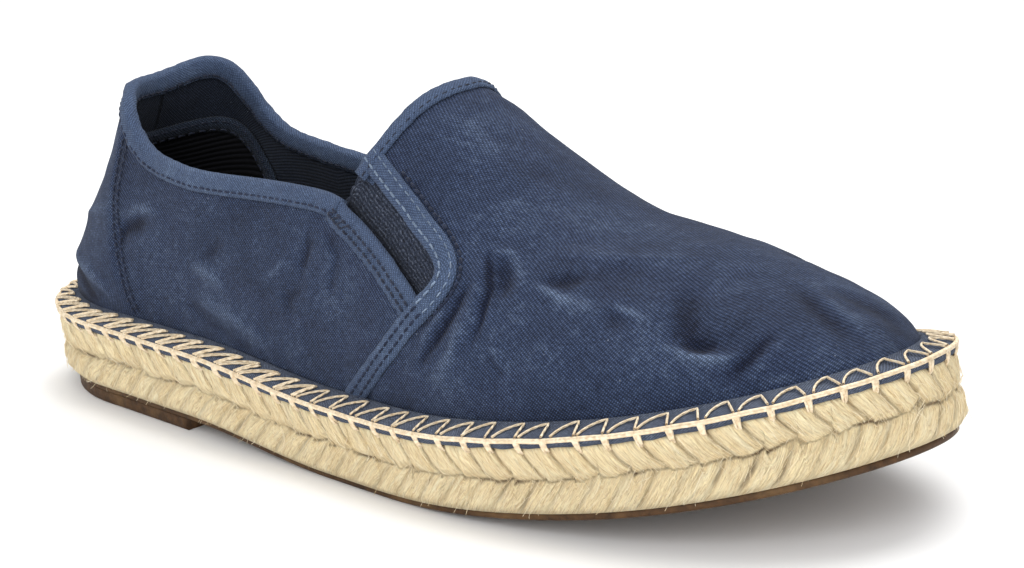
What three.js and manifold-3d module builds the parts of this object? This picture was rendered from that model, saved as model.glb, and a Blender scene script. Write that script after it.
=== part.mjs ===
// A slip-on espadrille for the right foot: a canvas upper with elastic gores on a braided jute sole.
// Millimetres, +Z up, +X towards the toe, +Y towards the medial side.
// The origin is on the floor, under the middle of the heel tread.

import * as THREE from 'three';
import { mergeVertices } from 'three/addons/utils/BufferGeometryUtils.js';
import Module from 'manifold-3d';

const wasm = await Module();
wasm.setup();

// Driving dimensions
const soleLength = 285;
const ballWidth = 104;
const toeShift = 7; // how far the toe's tip lies to the medial side
const juteHeight = 18;
const rubberThickness = 1.7;
const heelPadThickness = 3.2;
const insoleThickness = 3;
const toeSpring = 22;
const instepHeight = 73; // from the jute's top to the throat
const heelHeight = 60; // from the jute's top to where the heel's back line is measured
const wall = 1.6;
const clearance = 0.3;
const upperInset = 6.5; // from the jute's edge to the upper's foot
const rubberInset = 3;
const heelPadInset = 4;
const insoleInset = 10.3;
const heelTread = 40; // from the heel's back to the middle of the tread

// Tapes, panels and gores
const tapeThickness = 0.8;
const tapeClearance = 0.4; // between the upper's outer face and a tape on it
const foldClearance = 1; // between the upper's inner face and a tape folded over its edge
const collarTapeWidth = 6;
const throatTapeWidth = 6.5;
const insideTapeWidth = 4;
const seamTapeWidth = 6;
const counterThickness = 0.6;
const counterDepth = 0.45; // from the upper's face, which is more curved at the heel
const goreThickness = 1.2;
const goreMargin = 5;
const goreRise = 2; // how far a gore stands above the corners beside it
const foxingThickness = 0.8;
const foxingDrop = 2.5; // how far the foxing reaches down the jute's side

// The braid around the sole
const strandCount = 78;
const samplesPerStrand = 3;
const strandRelief = 0.9;

// Colours of the finished materials
const navy = 0x37455f;
const paleNavy = 0x475975;
const elasticGrey = 0x2b3242;
const straw = 0xd2b884;
const brownRubber = 0x4a3a2e;
const darkNavy = 0x1d2431;

// Half widths of the sole as shares of the ball width, before its ends are rounded
const soleRows = [
  { at: 0.0, lateral: 0.3, medial: 0.32 },
  { at: 0.12, lateral: 0.33, medial: 0.325 },
  { at: 0.22, lateral: 0.365, medial: 0.305 },
  { at: 0.35, lateral: 0.412, medial: 0.29 },
  { at: 0.48, lateral: 0.455, medial: 0.34 },
  { at: 0.62, lateral: 0.505, medial: 0.455 },
  { at: 0.72, lateral: 0.527, medial: 0.5 },
  { at: 0.84, lateral: 0.562, medial: 0.455 },
  { at: 1.0, lateral: 0.59, medial: 0.45 },
];
// Lengths of the rounded ends, as shares of the sole length
const heelRound = 0.135;
const lateralToeRound = 0.4;
const medialToeRound = 0.22;
const crownToeRound = 0.17;

// The underside: a flat heel, a step down at the waist, a flat forefoot, then the toe spring
const heelFlatEnd = 0.28;
const forefootFlatStart = 0.48;
const springStart = 0.547;
const springPower = 1.8;
const heelPadEnd = 0.265;

// Height of the last's top line, as shares of the instep height. Behind the throat it isn't covered.
const crownRows = [
  { at: 0.0, rise: 1.55 },
  { at: 0.15, rise: 1.5 },
  { at: 0.27, rise: 1.36 },
  { at: 0.36, rise: 1.2 },
  { at: 0.42, rise: 1.11 },
  { at: 0.5, rise: 1.035 },
  { at: 0.6, rise: 0.825 },
  { at: 0.7, rise: 0.597 },
  { at: 0.8, rise: 0.472 },
  { at: 0.9, rise: 0.345 },
  { at: 1.0, rise: 0.26 },
];
// The heel's back line: how far it leans forward, as shares of the heel height, by height
const backRows = [
  { at: 0.0, lean: 0 },
  { at: 0.12, lean: 0.01 },
  { at: 0.3, lean: 0.085 },
  { at: 0.5, lean: 0.22 },
  { at: 0.75, lean: 0.41 },
  { at: 1.0, lean: 0.525 },
  { at: 1.2, lean: 0.56 },
];
const leanReach = 0.4; // share of the sole length over which the lean fades out
const leanPower = 1.6;
const tuckShare = 0.035; // how far the upper is drawn in at its foot
const tuckHeight = 14;

// Lines drawn on the upper: along is a share of the sole length, girth a share of the way from the
// upper's foot up and over to the top line. The collar's girth differs between the two sides.
const collarLine = [
  { along: 0.0, lateral: 0.58, medial: 0.58 },
  { along: 0.04, lateral: 0.565, medial: 0.582 },
  { along: 0.08, lateral: 0.527, medial: 0.54 },
  { along: 0.12, lateral: 0.471, medial: 0.462 },
  { along: 0.17, lateral: 0.42, medial: 0.404 },
  { along: 0.22, lateral: 0.408, medial: 0.392 },
  { along: 0.288, lateral: 0.419, medial: 0.402 },
  { along: 0.343, lateral: 0.457, medial: 0.412 },
  { along: 0.4, lateral: 0.499, medial: 0.446 },
  { along: 0.44, lateral: 0.514, medial: 0.488 },
  { along: 0.47, lateral: 0.51, medial: 0.51 },
];
const throatLine = [
  { along: 0.49, girth: 0.64 },
  { along: 0.5, girth: 0.72 },
  { along: 0.506, girth: 0.785 },
  { along: 0.511, girth: 0.855 },
  { along: 0.517, girth: 0.93 },
  { along: 0.52, girth: 1.0 },
];
const quarterLine = [
  { along: 0.448, girth: 0.54 },
  { along: 0.467, girth: 0.515 },
  { along: 0.495, girth: 0.485 },
  { along: 0.524, girth: 0.447 },
  { along: 0.549, girth: 0.41 },
  { along: 0.573, girth: 0.375 },
  { along: 0.589, girth: 0.345 },
];
const vampLine = [
  { along: 0.455, girth: 0.655 },
  { along: 0.48, girth: 0.648 },
  { along: 0.494, girth: 0.622 },
  { along: 0.518, girth: 0.585 },
  { along: 0.547, girth: 0.545 },
  { along: 0.577, girth: 0.512 },
  { along: 0.598, girth: 0.482 },
  { along: 0.607, girth: 0.447 },
  { along: 0.603, girth: 0.4 },
  { along: 0.589, girth: 0.345 },
];
const seamLine = [
  { along: 0.589, girth: 0.345 },
  { along: 0.565, girth: 0.258 },
  { along: 0.54, girth: 0.17 },
  { along: 0.516, girth: 0.09 },
  { along: 0.495, girth: 0.025 },
];
const counterLine = [
  { along: 0.18, girth: 0.025 },
  { along: 0.165, girth: 0.09 },
  { along: 0.142, girth: 0.176 },
  { along: 0.124, girth: 0.253 },
  { along: 0.111, girth: 0.337 },
  { along: 0.103, girth: 0.44 },
];

// A curve through rows, by their value of key over their value of over, with no bend at its ends
function spline(rows, over, key) {
  const x = rows.map((row) => row[over]);
  const y = rows.map((row) => row[key]);
  const last = x.length - 1;
  const bend = new Array(last + 1).fill(0);
  const sweep = new Array(last + 1).fill(0);
  for (let i = 1; i < last; i++) {
    const share = (x[i] - x[i - 1]) / (x[i + 1] - x[i - 1]);
    const pivot = share * bend[i - 1] + 2;
    const slopeChange = (y[i + 1] - y[i]) / (x[i + 1] - x[i]) - (y[i] - y[i - 1]) / (x[i] - x[i - 1]);
    bend[i] = (share - 1) / pivot;
    sweep[i] = ((6 * slopeChange) / (x[i + 1] - x[i - 1]) - share * sweep[i - 1]) / pivot;
  }
  bend[last] = 0;
  for (let i = last - 1; i >= 0; i--) bend[i] = bend[i] * bend[i + 1] + sweep[i];
  return (value) => {
    const v = THREE.MathUtils.clamp(value, x[0], x[last]);
    let i = 0;
    while (i < last - 1 && v > x[i + 1]) i++;
    const step = x[i + 1] - x[i];
    const a = (x[i + 1] - v) / step;
    const b = (v - x[i]) / step;
    return a * y[i] + b * y[i + 1] + (((a ** 3 - a) * bend[i] + (b ** 3 - b) * bend[i + 1]) * step ** 2) / 6;
  };
}

const lateralWidth = spline(soleRows, 'at', 'lateral');
const medialWidth = spline(soleRows, 'at', 'medial');
const crownRise = spline(crownRows, 'at', 'rise');
const backLean = spline(backRows, 'at', 'lean');
const lateralCollar = spline(collarLine, 'along', 'lateral');
const medialCollar = spline(collarLine, 'along', 'medial');
const collarGirth = (along, side) => (side < 0 ? lateralCollar : medialCollar)(along);

const clamp01 = (value) => THREE.MathUtils.clamp(value, 0, 1);
const roundEnd = (distance, length) => Math.sqrt(1 - (1 - clamp01(distance / length)) ** 2);

// The place around the shoe is a turn: 0 at the heel, 1 or -1 at the toe, negative on the lateral side
const sideOf = (turn) => (Math.abs(turn) > 1 ? -1 : 1) * (turn < 0 ? -1 : 1);

function alongAt(turn, inset) {
  const share = (1 - Math.cos(Math.PI * turn)) / 2;
  return inset + (soleLength - 2 * inset) * share;
}

function turnAt(along, side) {
  const share = clamp01((along * soleLength - upperInset) / (soleLength - 2 * upperInset));
  return (side * Math.acos(1 - 2 * share)) / Math.PI;
}

// Height of the jute's underside above the floor
function underside(x) {
  const spring = Math.max(0, (x / soleLength - springStart) / (1 - springStart));
  const step = THREE.MathUtils.smoothstep(x / soleLength, heelFlatEnd, forefootFlatStart);
  const heelLift = (heelPadThickness + clearance) * (1 - step);
  return rubberThickness + clearance + heelLift + toeSpring * spring ** springPower;
}

// A point given along, across and above the flat sole, once the sole is bent to its underside
function bent(x, lean, y, height) {
  const angle = Math.atan(underside(x + 0.5) - underside(x - 0.5));
  return new THREE.Vector3(x + lean - height * Math.sin(angle), y, underside(x) + height * Math.cos(angle));
}

function halfWidth(x, side, inset) {
  const share = x / soleLength;
  const width = (side < 0 ? lateralWidth(share) : medialWidth(share)) * ballWidth - inset;
  const toeRound = side < 0 ? lateralToeRound : medialToeRound;
  const heelEnd = roundEnd(x - inset, heelRound * soleLength - inset);
  return width * heelEnd * roundEnd(soleLength - inset - x, toeRound * soleLength - inset);
}

const spine = (x) => toeShift * (x / soleLength) ** 3;

// A point of the sole's outline, drawn in by inset
function solePoint(turn, inset, height) {
  const x = alongAt(turn, inset);
  const side = sideOf(turn);
  return bent(x, 0, spine(x) + side * halfWidth(x, side, inset), height);
}

// A point of the last, by the angle of its elliptical section from the foot to the top line
function lastPoint(turn, angle) {
  const x = alongAt(turn, upperInset);
  const side = sideOf(turn);
  const crown = crownRise(x / soleLength) * instepHeight;
  const height = crown * roundEnd(soleLength - upperInset - x, crownToeRound * soleLength) * Math.sin(angle);
  const tuck = 1 - tuckShare * (1 - clamp01(height / tuckHeight)) ** 2;
  const y = spine(x) + side * halfWidth(x, side, upperInset) * Math.cos(angle) * tuck;
  const near = 1 - clamp01(x / (leanReach * soleLength));
  const lean = backLean(height / heelHeight) * heelHeight * near ** leanPower;
  return bent(x, lean, y, juteHeight + clearance + height);
}

// Lengths along the last's section at a turn, from its foot to its top line
const sectionSteps = 48;
const sectionCache = new Map();
function sectionLengths(turn) {
  if (!sectionCache.has(turn)) {
    const lengths = [0];
    let before = lastPoint(turn, 0);
    for (let i = 1; i <= sectionSteps; i++) {
      const next = lastPoint(turn, (i / sectionSteps) * (Math.PI / 2));
      lengths.push(lengths[i - 1] + next.distanceTo(before));
      before = next;
    }
    sectionCache.set(turn, lengths);
  }
  return sectionCache.get(turn);
}

// A point of the upper's outer face. A girth over 1 has crossed the top line to the other side.
function facePoint(turn, girth) {
  if (girth > 1) return facePoint(-turn, 2 - girth);
  const lengths = sectionLengths(turn);
  const target = Math.max(girth, 0) * lengths[sectionSteps];
  let i = 0;
  while (i < sectionSteps - 1 && lengths[i + 1] < target) i++;
  const step = lengths[i + 1] - lengths[i];
  const share = step > 0 ? clamp01((target - lengths[i]) / step) : 0;
  return lastPoint(turn, ((i + share) / sectionSteps) * (Math.PI / 2));
}

// How the outer face runs at a point: along the turn, along the girth, and out of the face
const turnStep = 0.004;
const girthStep = 0.01;
function faceFrame(turn, girth) {
  const low = Math.max(girth - girthStep, 0);
  const high = girth + girthStep;
  const around = facePoint(turn + turnStep, girth).sub(facePoint(turn - turnStep, girth));
  const upward = facePoint(turn, high).sub(facePoint(turn, low));
  around.divideScalar(2 * turnStep);
  upward.divideScalar(high - low);
  const out = new THREE.Vector3().crossVectors(upward, around).normalize();
  return { around, upward, out };
}

// A point that stands off the outer face by depth, negative into the shoe
function skin(turn, girth, depth) {
  const atTip = Math.abs(Math.abs(turn) - 1) < 1e-9;
  const out = atTip ? new THREE.Vector3(1, 0, 0) : faceFrame(turn, girth).out;
  return facePoint(turn, girth).addScaledVector(out, depth);
}

// The turn and girth that lie a distance away from a point of the face, in a direction on it. What is
// laid on the upper ends above the foxing.
const footGirth = 0.022;
function walk(place, direction, distance) {
  const steps = 3;
  let { turn, girth } = place;
  for (let i = 0; i < steps; i++) {
    const { around, upward } = faceFrame(turn, girth);
    const move = direction.clone().multiplyScalar(distance / steps);
    const aa = around.dot(around);
    const ab = around.dot(upward);
    const bb = upward.dot(upward);
    const det = aa * bb - ab * ab;
    turn += (bb * move.dot(around) - ab * move.dot(upward)) / det;
    girth = Math.max(girth + (aa * move.dot(upward) - ab * move.dot(around)) / det, footGirth);
  }
  return { turn, girth };
}

// A closed solid from points and faces, with its faces turned out
function closedSolid(points, faces) {
  const loose = new THREE.BufferGeometry().setFromPoints(points);
  loose.setIndex(faces);
  const merged = mergeVertices(loose, 1e-4);
  const index = merged.index.array;
  const place = merged.attributes.position;
  const corners = [new THREE.Vector3(), new THREE.Vector3(), new THREE.Vector3()];
  const kept = [];
  let volume = 0;
  for (let i = 0; i < index.length; i += 3) {
    const [a, b, c] = index.slice(i, i + 3);
    if (a === b || b === c || a === c) continue;
    kept.push([a, b, c]);
    corners.forEach((corner, k) => corner.fromBufferAttribute(place, index[i + k]));
    volume += corners[0].dot(corners[1].clone().cross(corners[2]));
  }
  merged.setIndex(kept.flatMap(([a, b, c]) => (volume > 0 ? [a, b, c] : [a, c, b])));
  return merged;
}

function quad(faces, a, b, c, d) {
  faces.push(a, b, c, a, c, d);
}

// A solid between loops of equal length, the first and last closed across the shoe
function slab(loops) {
  const size = loops[0].length;
  const faces = [];
  loops.slice(1).forEach((loop, k) => {
    for (let j = 0; j < size; j++) {
      const next = (j + 1) % size;
      quad(faces, k * size + j, k * size + next, (k + 1) * size + next, (k + 1) * size + j);
    }
  });
  const top = (loops.length - 1) * size;
  for (let j = 0; j < Math.floor(size / 2); j++) {
    const across = size - 1 - j;
    quad(faces, j + 1, j, across, across - 1);
    quad(faces, top + j, top + j + 1, top + across - 1, top + across);
  }
  return closedSolid(loops.flat(), faces);
}

// A solid swept through copies of one section, a ring or closed at its ends. The outline's first half
// is one face of the sheet and its second half comes back along the other.
function swept(sections, outline) {
  const size = outline.length;
  const faces = [];
  const spans = sections.length - 1;
  for (let i = 0; i < spans; i++) {
    for (let k = 0; k < size; k++) {
      const next = (k + 1) % size;
      quad(faces, i * size + k, i * size + next, (i + 1) * size + next, (i + 1) * size + k);
    }
  }
  const isRing = sections[0][0].distanceTo(sections[spans][0]) < 1e-4;
  const end = spans * size;
  for (let j = 0; j < size / 2 - 1 && !isRing; j++) {
    const across = size - 1 - j;
    quad(faces, j + 1, j, across, across - 1);
    quad(faces, end + j, end + j + 1, end + across - 1, end + across);
  }
  return closedSolid(sections.flat(), faces);
}

// Turns from the toe round the heel to the toe, whose points stand evenly along the sole's two sides
function evenTurns(count) {
  const fine = 1000;
  const lengths = [0];
  const place = (i, side) => solePoint((side * i) / fine, 0, 0);
  for (let i = 1; i <= fine; i++) {
    const steps = [-1, 1].map((side) => place(i, side).distanceTo(place(i - 1, side)));
    lengths.push(lengths[i - 1] + (steps[0] + steps[1]) / 2);
  }
  const half = [0];
  let i = 0;
  for (let k = 1; k <= count / 2; k++) {
    const target = (2 * k * lengths[fine]) / count;
    while (i < fine - 1 && lengths[i + 1] < target) i++;
    half.push(Math.min(1, (i + (target - lengths[i]) / (lengths[i + 1] - lengths[i])) / fine));
  }
  return [...half.slice(1).reverse().map((turn) => -turn), ...half];
}

const evenLoop = (turns, inset, height) => turns.map((turn) => solePoint(turn, inset, height));

// The jute: two rows of strands that meet in a row of points, each strand raised between grooves
const braidRows = [
  { share: 0.0, inset: 2.5, step: 2, relief: 0 },
  { share: 0.22, inset: 0.2, step: 1, relief: 1 },
  { share: 0.5, inset: 0.6, step: 0, relief: 0.5 },
  { share: 0.78, inset: 0.0, step: 1, relief: 1 },
  { share: 1.0, inset: 0.4, step: 2, relief: 0 },
];

function juteSole() {
  const count = strandCount * samplesPerStrand;
  const turns = evenTurns(count);
  const loops = braidRows.map(({ share, inset, step, relief }) =>
    turns.map((turn, j) => {
      const inGroove = (j - step + samplesPerStrand) % samplesPerStrand === 0;
      const depth = inGroove && j > 0 && j < count ? strandRelief * relief : 0;
      return solePoint(turn, inset + depth, share * juteHeight);
    }),
  );
  return slab(loops);
}

const coarseTurns = evenTurns(80);

function outsole() {
  const top = -clearance;
  const bottom = top - rubberThickness;
  return slab([evenLoop(coarseTurns, rubberInset, bottom), evenLoop(coarseTurns, rubberInset, top)]);
}

function heelPad() {
  const share = (heelPadEnd * soleLength - heelPadInset) / (soleLength - 2 * heelPadInset);
  const end = Math.acos(1 - 2 * share) / Math.PI;
  const turns = [-end, ...coarseTurns.filter((turn) => Math.abs(turn) < end), end];
  const top = -clearance - rubberThickness - clearance;
  const bottom = top - heelPadThickness;
  return slab([evenLoop(turns, heelPadInset, bottom), evenLoop(turns, heelPadInset, top)]);
}

function insole() {
  const bottom = juteHeight + clearance;
  const top = bottom + insoleThickness;
  return slab([evenLoop(coarseTurns, insoleInset, bottom), evenLoop(coarseTurns, insoleInset, top)]);
}

// The foxing: the canvas strip that is sewn over the jute's top edge all the way round
function foxing() {
  const inner = upperInset - clearance;
  const low = juteHeight + clearance;
  const high = low + foxingThickness;
  const outer = -clearance - foxingThickness;
  const foot = juteHeight - foxingDrop;
  const outline = [
    [inner, low],
    [-clearance, low],
    [-clearance, foot],
    [outer, foot],
    [outer, high],
    [inner, high],
  ];
  const turns = evenTurns(84);
  const sections = turns.map((turn) => outline.map(([inset, height]) => solePoint(turn, inset, height)));
  return swept(sections, outline);
}

// The upper's shell before the gores are cut. Its top line is the collar, then the throat.
const throatPlaces = line(throatLine, 1, 10);
const cornerTurn = turnAt(collarLine[collarLine.length - 1].along, 1);
function topGirth(turn) {
  const corner = { turn: cornerTurn, girth: collarLine[collarLine.length - 1].lateral };
  const rows = [corner, ...throatPlaces];
  const reach = Math.abs(turn);
  if (reach <= corner.turn) return collarGirth(alongAt(reach, upperInset) / soleLength, turn);
  if (reach >= rows[rows.length - 1].turn) return 1;
  const i = rows.findIndex((row) => row.turn > reach);
  const share = (reach - rows[i - 1].turn) / (rows[i].turn - rows[i - 1].turn);
  return THREE.MathUtils.lerp(rows[i - 1].girth, rows[i].girth, share);
}

// The shell's stations, from toe to heel to toe, with one at each end of the collar and throat
function stationTurns(stations) {
  const marks = [cornerTurn, ...throatPlaces.map((place) => place.turn)];
  const spread = 0.5 / stations;
  const plain = Array.from({ length: stations + 1 }, (_, i) => i / stations);
  const isFree = (turn) => marks.every((mark) => Math.abs(mark - turn) > spread);
  const half = [...plain.filter(isFree), ...marks].sort((a, b) => a - b);
  return [...half.slice(1).reverse().map((turn) => -turn), ...half];
}
const shellTurns = stationTurns(31);

function upperShell() {
  const rows = 12;
  const turns = shellTurns;
  const points = [];
  for (const depth of [0, -wall]) {
    for (const turn of turns) {
      const reach = topGirth(turn);
      for (let k = 0; k <= rows; k++) {
        // On the top line both sides share the lateral side's point
        const onTop = k === rows && reach === 1;
        points.push(skin(onTop ? -Math.abs(turn) : turn, (reach * k) / rows, depth));
      }
    }
  }
  const across = rows + 1;
  const inner = turns.length * across;
  const faces = [];
  for (let j = 0; j < turns.length - 1; j++) {
    const a = j * across;
    const b = a + across;
    for (let k = 0; k < rows; k++) {
      quad(faces, a + k, b + k, b + k + 1, a + k + 1);
      quad(faces, inner + a + k, inner + a + k + 1, inner + b + k + 1, inner + b + k);
    }
    quad(faces, a, inner + a, inner + b, b);
    const isOpen = topGirth((turns[j] + turns[j + 1]) / 2) < 1;
    if (isOpen) quad(faces, a + rows, b + rows, inner + b + rows, inner + a + rows);
  }
  return closedSolid(points, faces);
}

// A smooth line on one side of the upper, as places from its first row to its last
function line(rows, side, count, from = 0, to = 1) {
  const curve = new THREE.CatmullRomCurve3(rows.map((row) => new THREE.Vector3(row.along, row.girth, 0)));
  return Array.from({ length: count + 1 }, (_, i) => {
    const at = curve.getPoint(THREE.MathUtils.lerp(from, to, i / count));
    return { turn: turnAt(at.x, side), girth: at.y };
  });
}

// A panel of the upper between two lines of places, from one depth to another, sunk where sink says
function panel(lineA, lineB, low, high, acrossCount = 6, sink = () => 0) {
  const count = lineA.length;
  const grid = [low, high].map((depth) =>
    lineA.map((a, i) =>
      Array.from({ length: acrossCount + 1 }, (_, k) => {
        const turn = THREE.MathUtils.lerp(a.turn, lineB[i].turn, k / acrossCount);
        const girth = THREE.MathUtils.lerp(a.girth, lineB[i].girth, k / acrossCount);
        return skin(turn, girth, depth - sink(i));
      }),
    ),
  );
  const size = acrossCount + 1;
  const upper = count * size;
  const faces = [];
  for (let i = 0; i < count - 1; i++) {
    const a = i * size;
    const b = a + size;
    for (let k = 0; k < acrossCount; k++) {
      quad(faces, a + k, a + k + 1, b + k + 1, b + k);
      quad(faces, upper + a + k, upper + b + k, upper + b + k + 1, upper + a + k + 1);
    }
    quad(faces, a, b, upper + b, upper + a);
    quad(faces, a + acrossCount, upper + a + acrossCount, upper + b + acrossCount, b + acrossCount);
  }
  const end = (count - 1) * size;
  for (let k = 0; k < acrossCount; k++) {
    quad(faces, k, upper + k, upper + k + 1, k + 1);
    quad(faces, end + k, end + k + 1, upper + end + k + 1, upper + end + k);
  }
  return closedSolid(grid.flat(2), faces);
}

// A strip that follows a line. Its outline gives distances across the line and depths; across is
// positive to the left of the line's run, seen from outside.
function strip(places, outline) {
  const sections = places.map((place, i) => {
    const before = places[Math.max(i - 1, 0)];
    const after = places[Math.min(i + 1, places.length - 1)];
    const run = facePoint(after.turn, after.girth).sub(facePoint(before.turn, before.girth));
    const across = new THREE.Vector3().crossVectors(faceFrame(place.turn, place.girth).out, run).normalize();
    return outline.map(([distance, depth]) => {
      const { turn, girth } = walk(place, across, distance);
      return skin(turn, girth, depth);
    });
  });
  return swept(sections, outline);
}

// The section of a tape folded over an edge, which lies on the side of the line that sign gives
function foldedTape(width, sign) {
  const inside = -wall - foldClearance;
  const over = tapeClearance + tapeThickness;
  const outline = [
    [-width, over],
    [-width / 2, over],
    [0, over],
    [over, tapeClearance],
    [over, inside],
    [0, inside - tapeThickness],
    [-insideTapeWidth, inside - tapeThickness],
    [-insideTapeWidth, inside],
    [clearance, inside],
    [clearance, inside],
    [clearance, tapeClearance],
    [clearance, tapeClearance],
    [-width / 2, tapeClearance],
    [-width, tapeClearance],
  ];
  return outline.map(([distance, depth]) => [distance * sign, depth]);
}

function collarBinding() {
  const turns = shellTurns.filter((turn) => Math.abs(turn) <= cornerTurn);
  const places = turns.map((turn) => ({ turn, girth: topGirth(turn) }));
  return strip(places, foldedTape(collarTapeWidth, -1));
}

// The tape over the throat runs from the lateral corner over the top line to the medial corner
function throatBinding() {
  const up = throatPlaces.map(({ turn, girth }) => ({ turn: -turn, girth }));
  const down = [...throatPlaces].reverse();
  return strip([...up, ...down.slice(1)], foldedTape(throatTapeWidth, 1));
}

const flatTape = (from, to) => [
  [from, tapeClearance + tapeThickness],
  [(from + to) / 2, tapeClearance + tapeThickness],
  [to, tapeClearance + tapeThickness],
  [to, tapeClearance],
  [(from + to) / 2, tapeClearance],
  [from, tapeClearance],
];

// The vamp's edge tape, beside the gore, round its end and down the seam to the sole
function vampTape(side) {
  const beside = line(vampLine, side, 22, 0.34);
  const down = line(seamLine, side, 10).slice(1);
  return strip([...beside, ...down], flatTape(0, -side * seamTapeWidth));
}

// The quarter's edge tape, from under the collar's tape down to the vamp's seam
function quarterTape(side) {
  const places = line(quarterLine, side, 12, 0.35, 0.93);
  return strip(places, flatTape(0, side * seamTapeWidth));
}

// The counter wraps the heel between its two seams, above the foxing and under the collar's tape
function heelCounter() {
  const count = 20;
  const gap = collarTapeWidth + 2 * clearance;
  const seam = spline(counterLine, 'girth', 'along');
  const grid = Array.from({ length: count + 1 }, (_, i) => -1 + (2 * i) / count);
  const edge = (share) =>
    grid.map((at) => {
      const bottom = 0.025;
      const guess = Math.abs(at) * seam(bottom) * soleLength;
      const side = at < 0 ? -1 : 1;
      const whole = sectionLengths(turnAt(guess / soleLength, side))[sectionSteps];
      const top = collarGirth(guess / soleLength, side) - gap / whole;
      const girth = THREE.MathUtils.lerp(bottom, top, share);
      return { turn: at * turnAt(seam(girth), 1), girth };
    });
  return panel(edge(0), edge(1), counterDepth, counterDepth + counterThickness, 7);
}

// The elastic lies inside the upper's wall and under both edges of its opening. At its top it is
// sunk below the folded tapes.
function gore(side) {
  const count = 14;
  const top = -wall - foldClearance;
  const sink = (i) => (tapeThickness + clearance) * (1 - THREE.MathUtils.smoothstep(i, 3, 6));
  const front = line(vampLine, side, count, 0.14, 1);
  const back = line(quarterLine, side, count, 0.167, 1);
  const widen = (from, other, i) => {
    const a = facePoint(from.turn, from.girth);
    const away = a.clone().sub(facePoint(other.turn, other.girth)).normalize();
    return i < count ? walk(from, away, goreMargin) : from;
  };
  const lineA = front.map((place, i) => widen(place, back[i], i));
  const lineB = back.map((place, i) => widen(place, front[i], i));
  // The top edge stands above the corners
  for (const edge of [lineA, lineB]) {
    const start = facePoint(edge[0].turn, edge[0].girth);
    const away = start.sub(facePoint(edge[1].turn, edge[1].girth)).normalize();
    edge[0] = walk(edge[0], away, goreRise);
  }
  return panel(lineA, lineB, top - goreThickness, top, 5, sink);
}

function toManifold(geometry) {
  const mesh = new wasm.Mesh({
    numProp: 3,
    vertProperties: new Float32Array(geometry.attributes.position.array),
    triVerts: new Uint32Array(geometry.index.array),
  });
  return new wasm.Manifold(mesh);
}

function fromManifold(solid) {
  const mesh = solid.getMesh();
  const geometry = new THREE.BufferGeometry();
  geometry.setAttribute('position', new THREE.BufferAttribute(new Float32Array(mesh.vertProperties), 3));
  geometry.setIndex(new THREE.BufferAttribute(new Uint32Array(mesh.triVerts), 1));
  return geometry;
}

function upper() {
  const reach = 4;
  const openings = [-1, 1].map((side) =>
    toManifold(panel(line(vampLine, side, 30), line(quarterLine, side, 30), -wall - reach, reach, 4)),
  );
  const cut = openings.reduce((solid, opening) => solid.subtract(opening), toManifold(upperShell()));
  return fromManifold(cut);
}

function mesh(name, geometry, color, roughness) {
  const material = new THREE.MeshStandardMaterial({ color, roughness, metalness: 0 });
  const piece = new THREE.Mesh(geometry, material);
  piece.name = name;
  return piece;
}

const espadrille = new THREE.Group();
espadrille.position.x = -heelTread;
espadrille.add(mesh('heel_pad', heelPad(), brownRubber, 0.75));
espadrille.add(mesh('outsole', outsole(), brownRubber, 0.75));
espadrille.add(mesh('jute_sole', juteSole(), straw, 0.9));
espadrille.add(mesh('foxing', foxing(), navy, 0.85));
espadrille.add(mesh('insole', insole(), darkNavy, 0.9));
espadrille.add(mesh('upper', upper(), navy, 0.85));
espadrille.add(mesh('heel_counter', heelCounter(), navy, 0.85));
espadrille.add(mesh('collar_binding', collarBinding(), paleNavy, 0.8));
espadrille.add(mesh('throat_binding', throatBinding(), paleNavy, 0.8));
for (const [name, side] of [['lateral', -1], ['medial', 1]]) {
  espadrille.add(mesh(`gore_${name}`, gore(side), elasticGrey, 0.95));
  espadrille.add(mesh(`vamp_tape_${name}`, vampTape(side), paleNavy, 0.8));
  espadrille.add(mesh(`quarter_tape_${name}`, quarterTape(side), paleNavy, 0.8));
}

export default espadrille;
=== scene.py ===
# The looks of a right-foot slip-on espadrille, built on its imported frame.
# Shapes are worked out in millimetres from the heel's back, then placed in metres in the frame.

import math

import bmesh
import bpy
import numpy as np
from mathutils import Matrix, Vector, noise


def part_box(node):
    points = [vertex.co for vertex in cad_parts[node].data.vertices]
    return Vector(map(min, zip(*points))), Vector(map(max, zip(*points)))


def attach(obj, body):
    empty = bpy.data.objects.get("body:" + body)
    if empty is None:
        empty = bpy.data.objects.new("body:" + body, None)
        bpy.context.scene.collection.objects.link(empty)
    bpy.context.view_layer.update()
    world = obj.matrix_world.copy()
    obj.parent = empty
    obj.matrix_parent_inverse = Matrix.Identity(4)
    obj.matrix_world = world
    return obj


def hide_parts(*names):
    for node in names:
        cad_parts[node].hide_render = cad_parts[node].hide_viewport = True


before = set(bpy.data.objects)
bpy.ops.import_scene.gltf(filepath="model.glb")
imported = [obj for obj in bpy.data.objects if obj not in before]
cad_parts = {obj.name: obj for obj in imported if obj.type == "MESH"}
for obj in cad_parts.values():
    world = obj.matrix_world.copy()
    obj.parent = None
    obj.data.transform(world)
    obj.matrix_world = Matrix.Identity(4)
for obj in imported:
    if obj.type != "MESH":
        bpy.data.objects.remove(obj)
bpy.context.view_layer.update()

# Sizes of the shoe
HEEL_TREAD = -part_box("jute_sole")[0][0] * 1000
SOLE_LENGTH = 285.0
BALL_WIDTH = 104.0
TOE_SHIFT = 7.0
JUTE_HEIGHT = 18.0
RUBBER = 1.7
HEEL_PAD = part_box("heel_pad")[1][2] * 1000
HEEL_PAD_END = 0.265
INSOLE = 3.0
TOE_SPRING = 22.0
INSTEP = 73.0
HEEL_HEIGHT = 60.0
WALL = 1.6
CLEARANCE = 0.3
UPPER_INSET = 6.5
USUAL_GIRTH = 110.0
COLLAR_TAPE_WIDTH = 4.3
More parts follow.
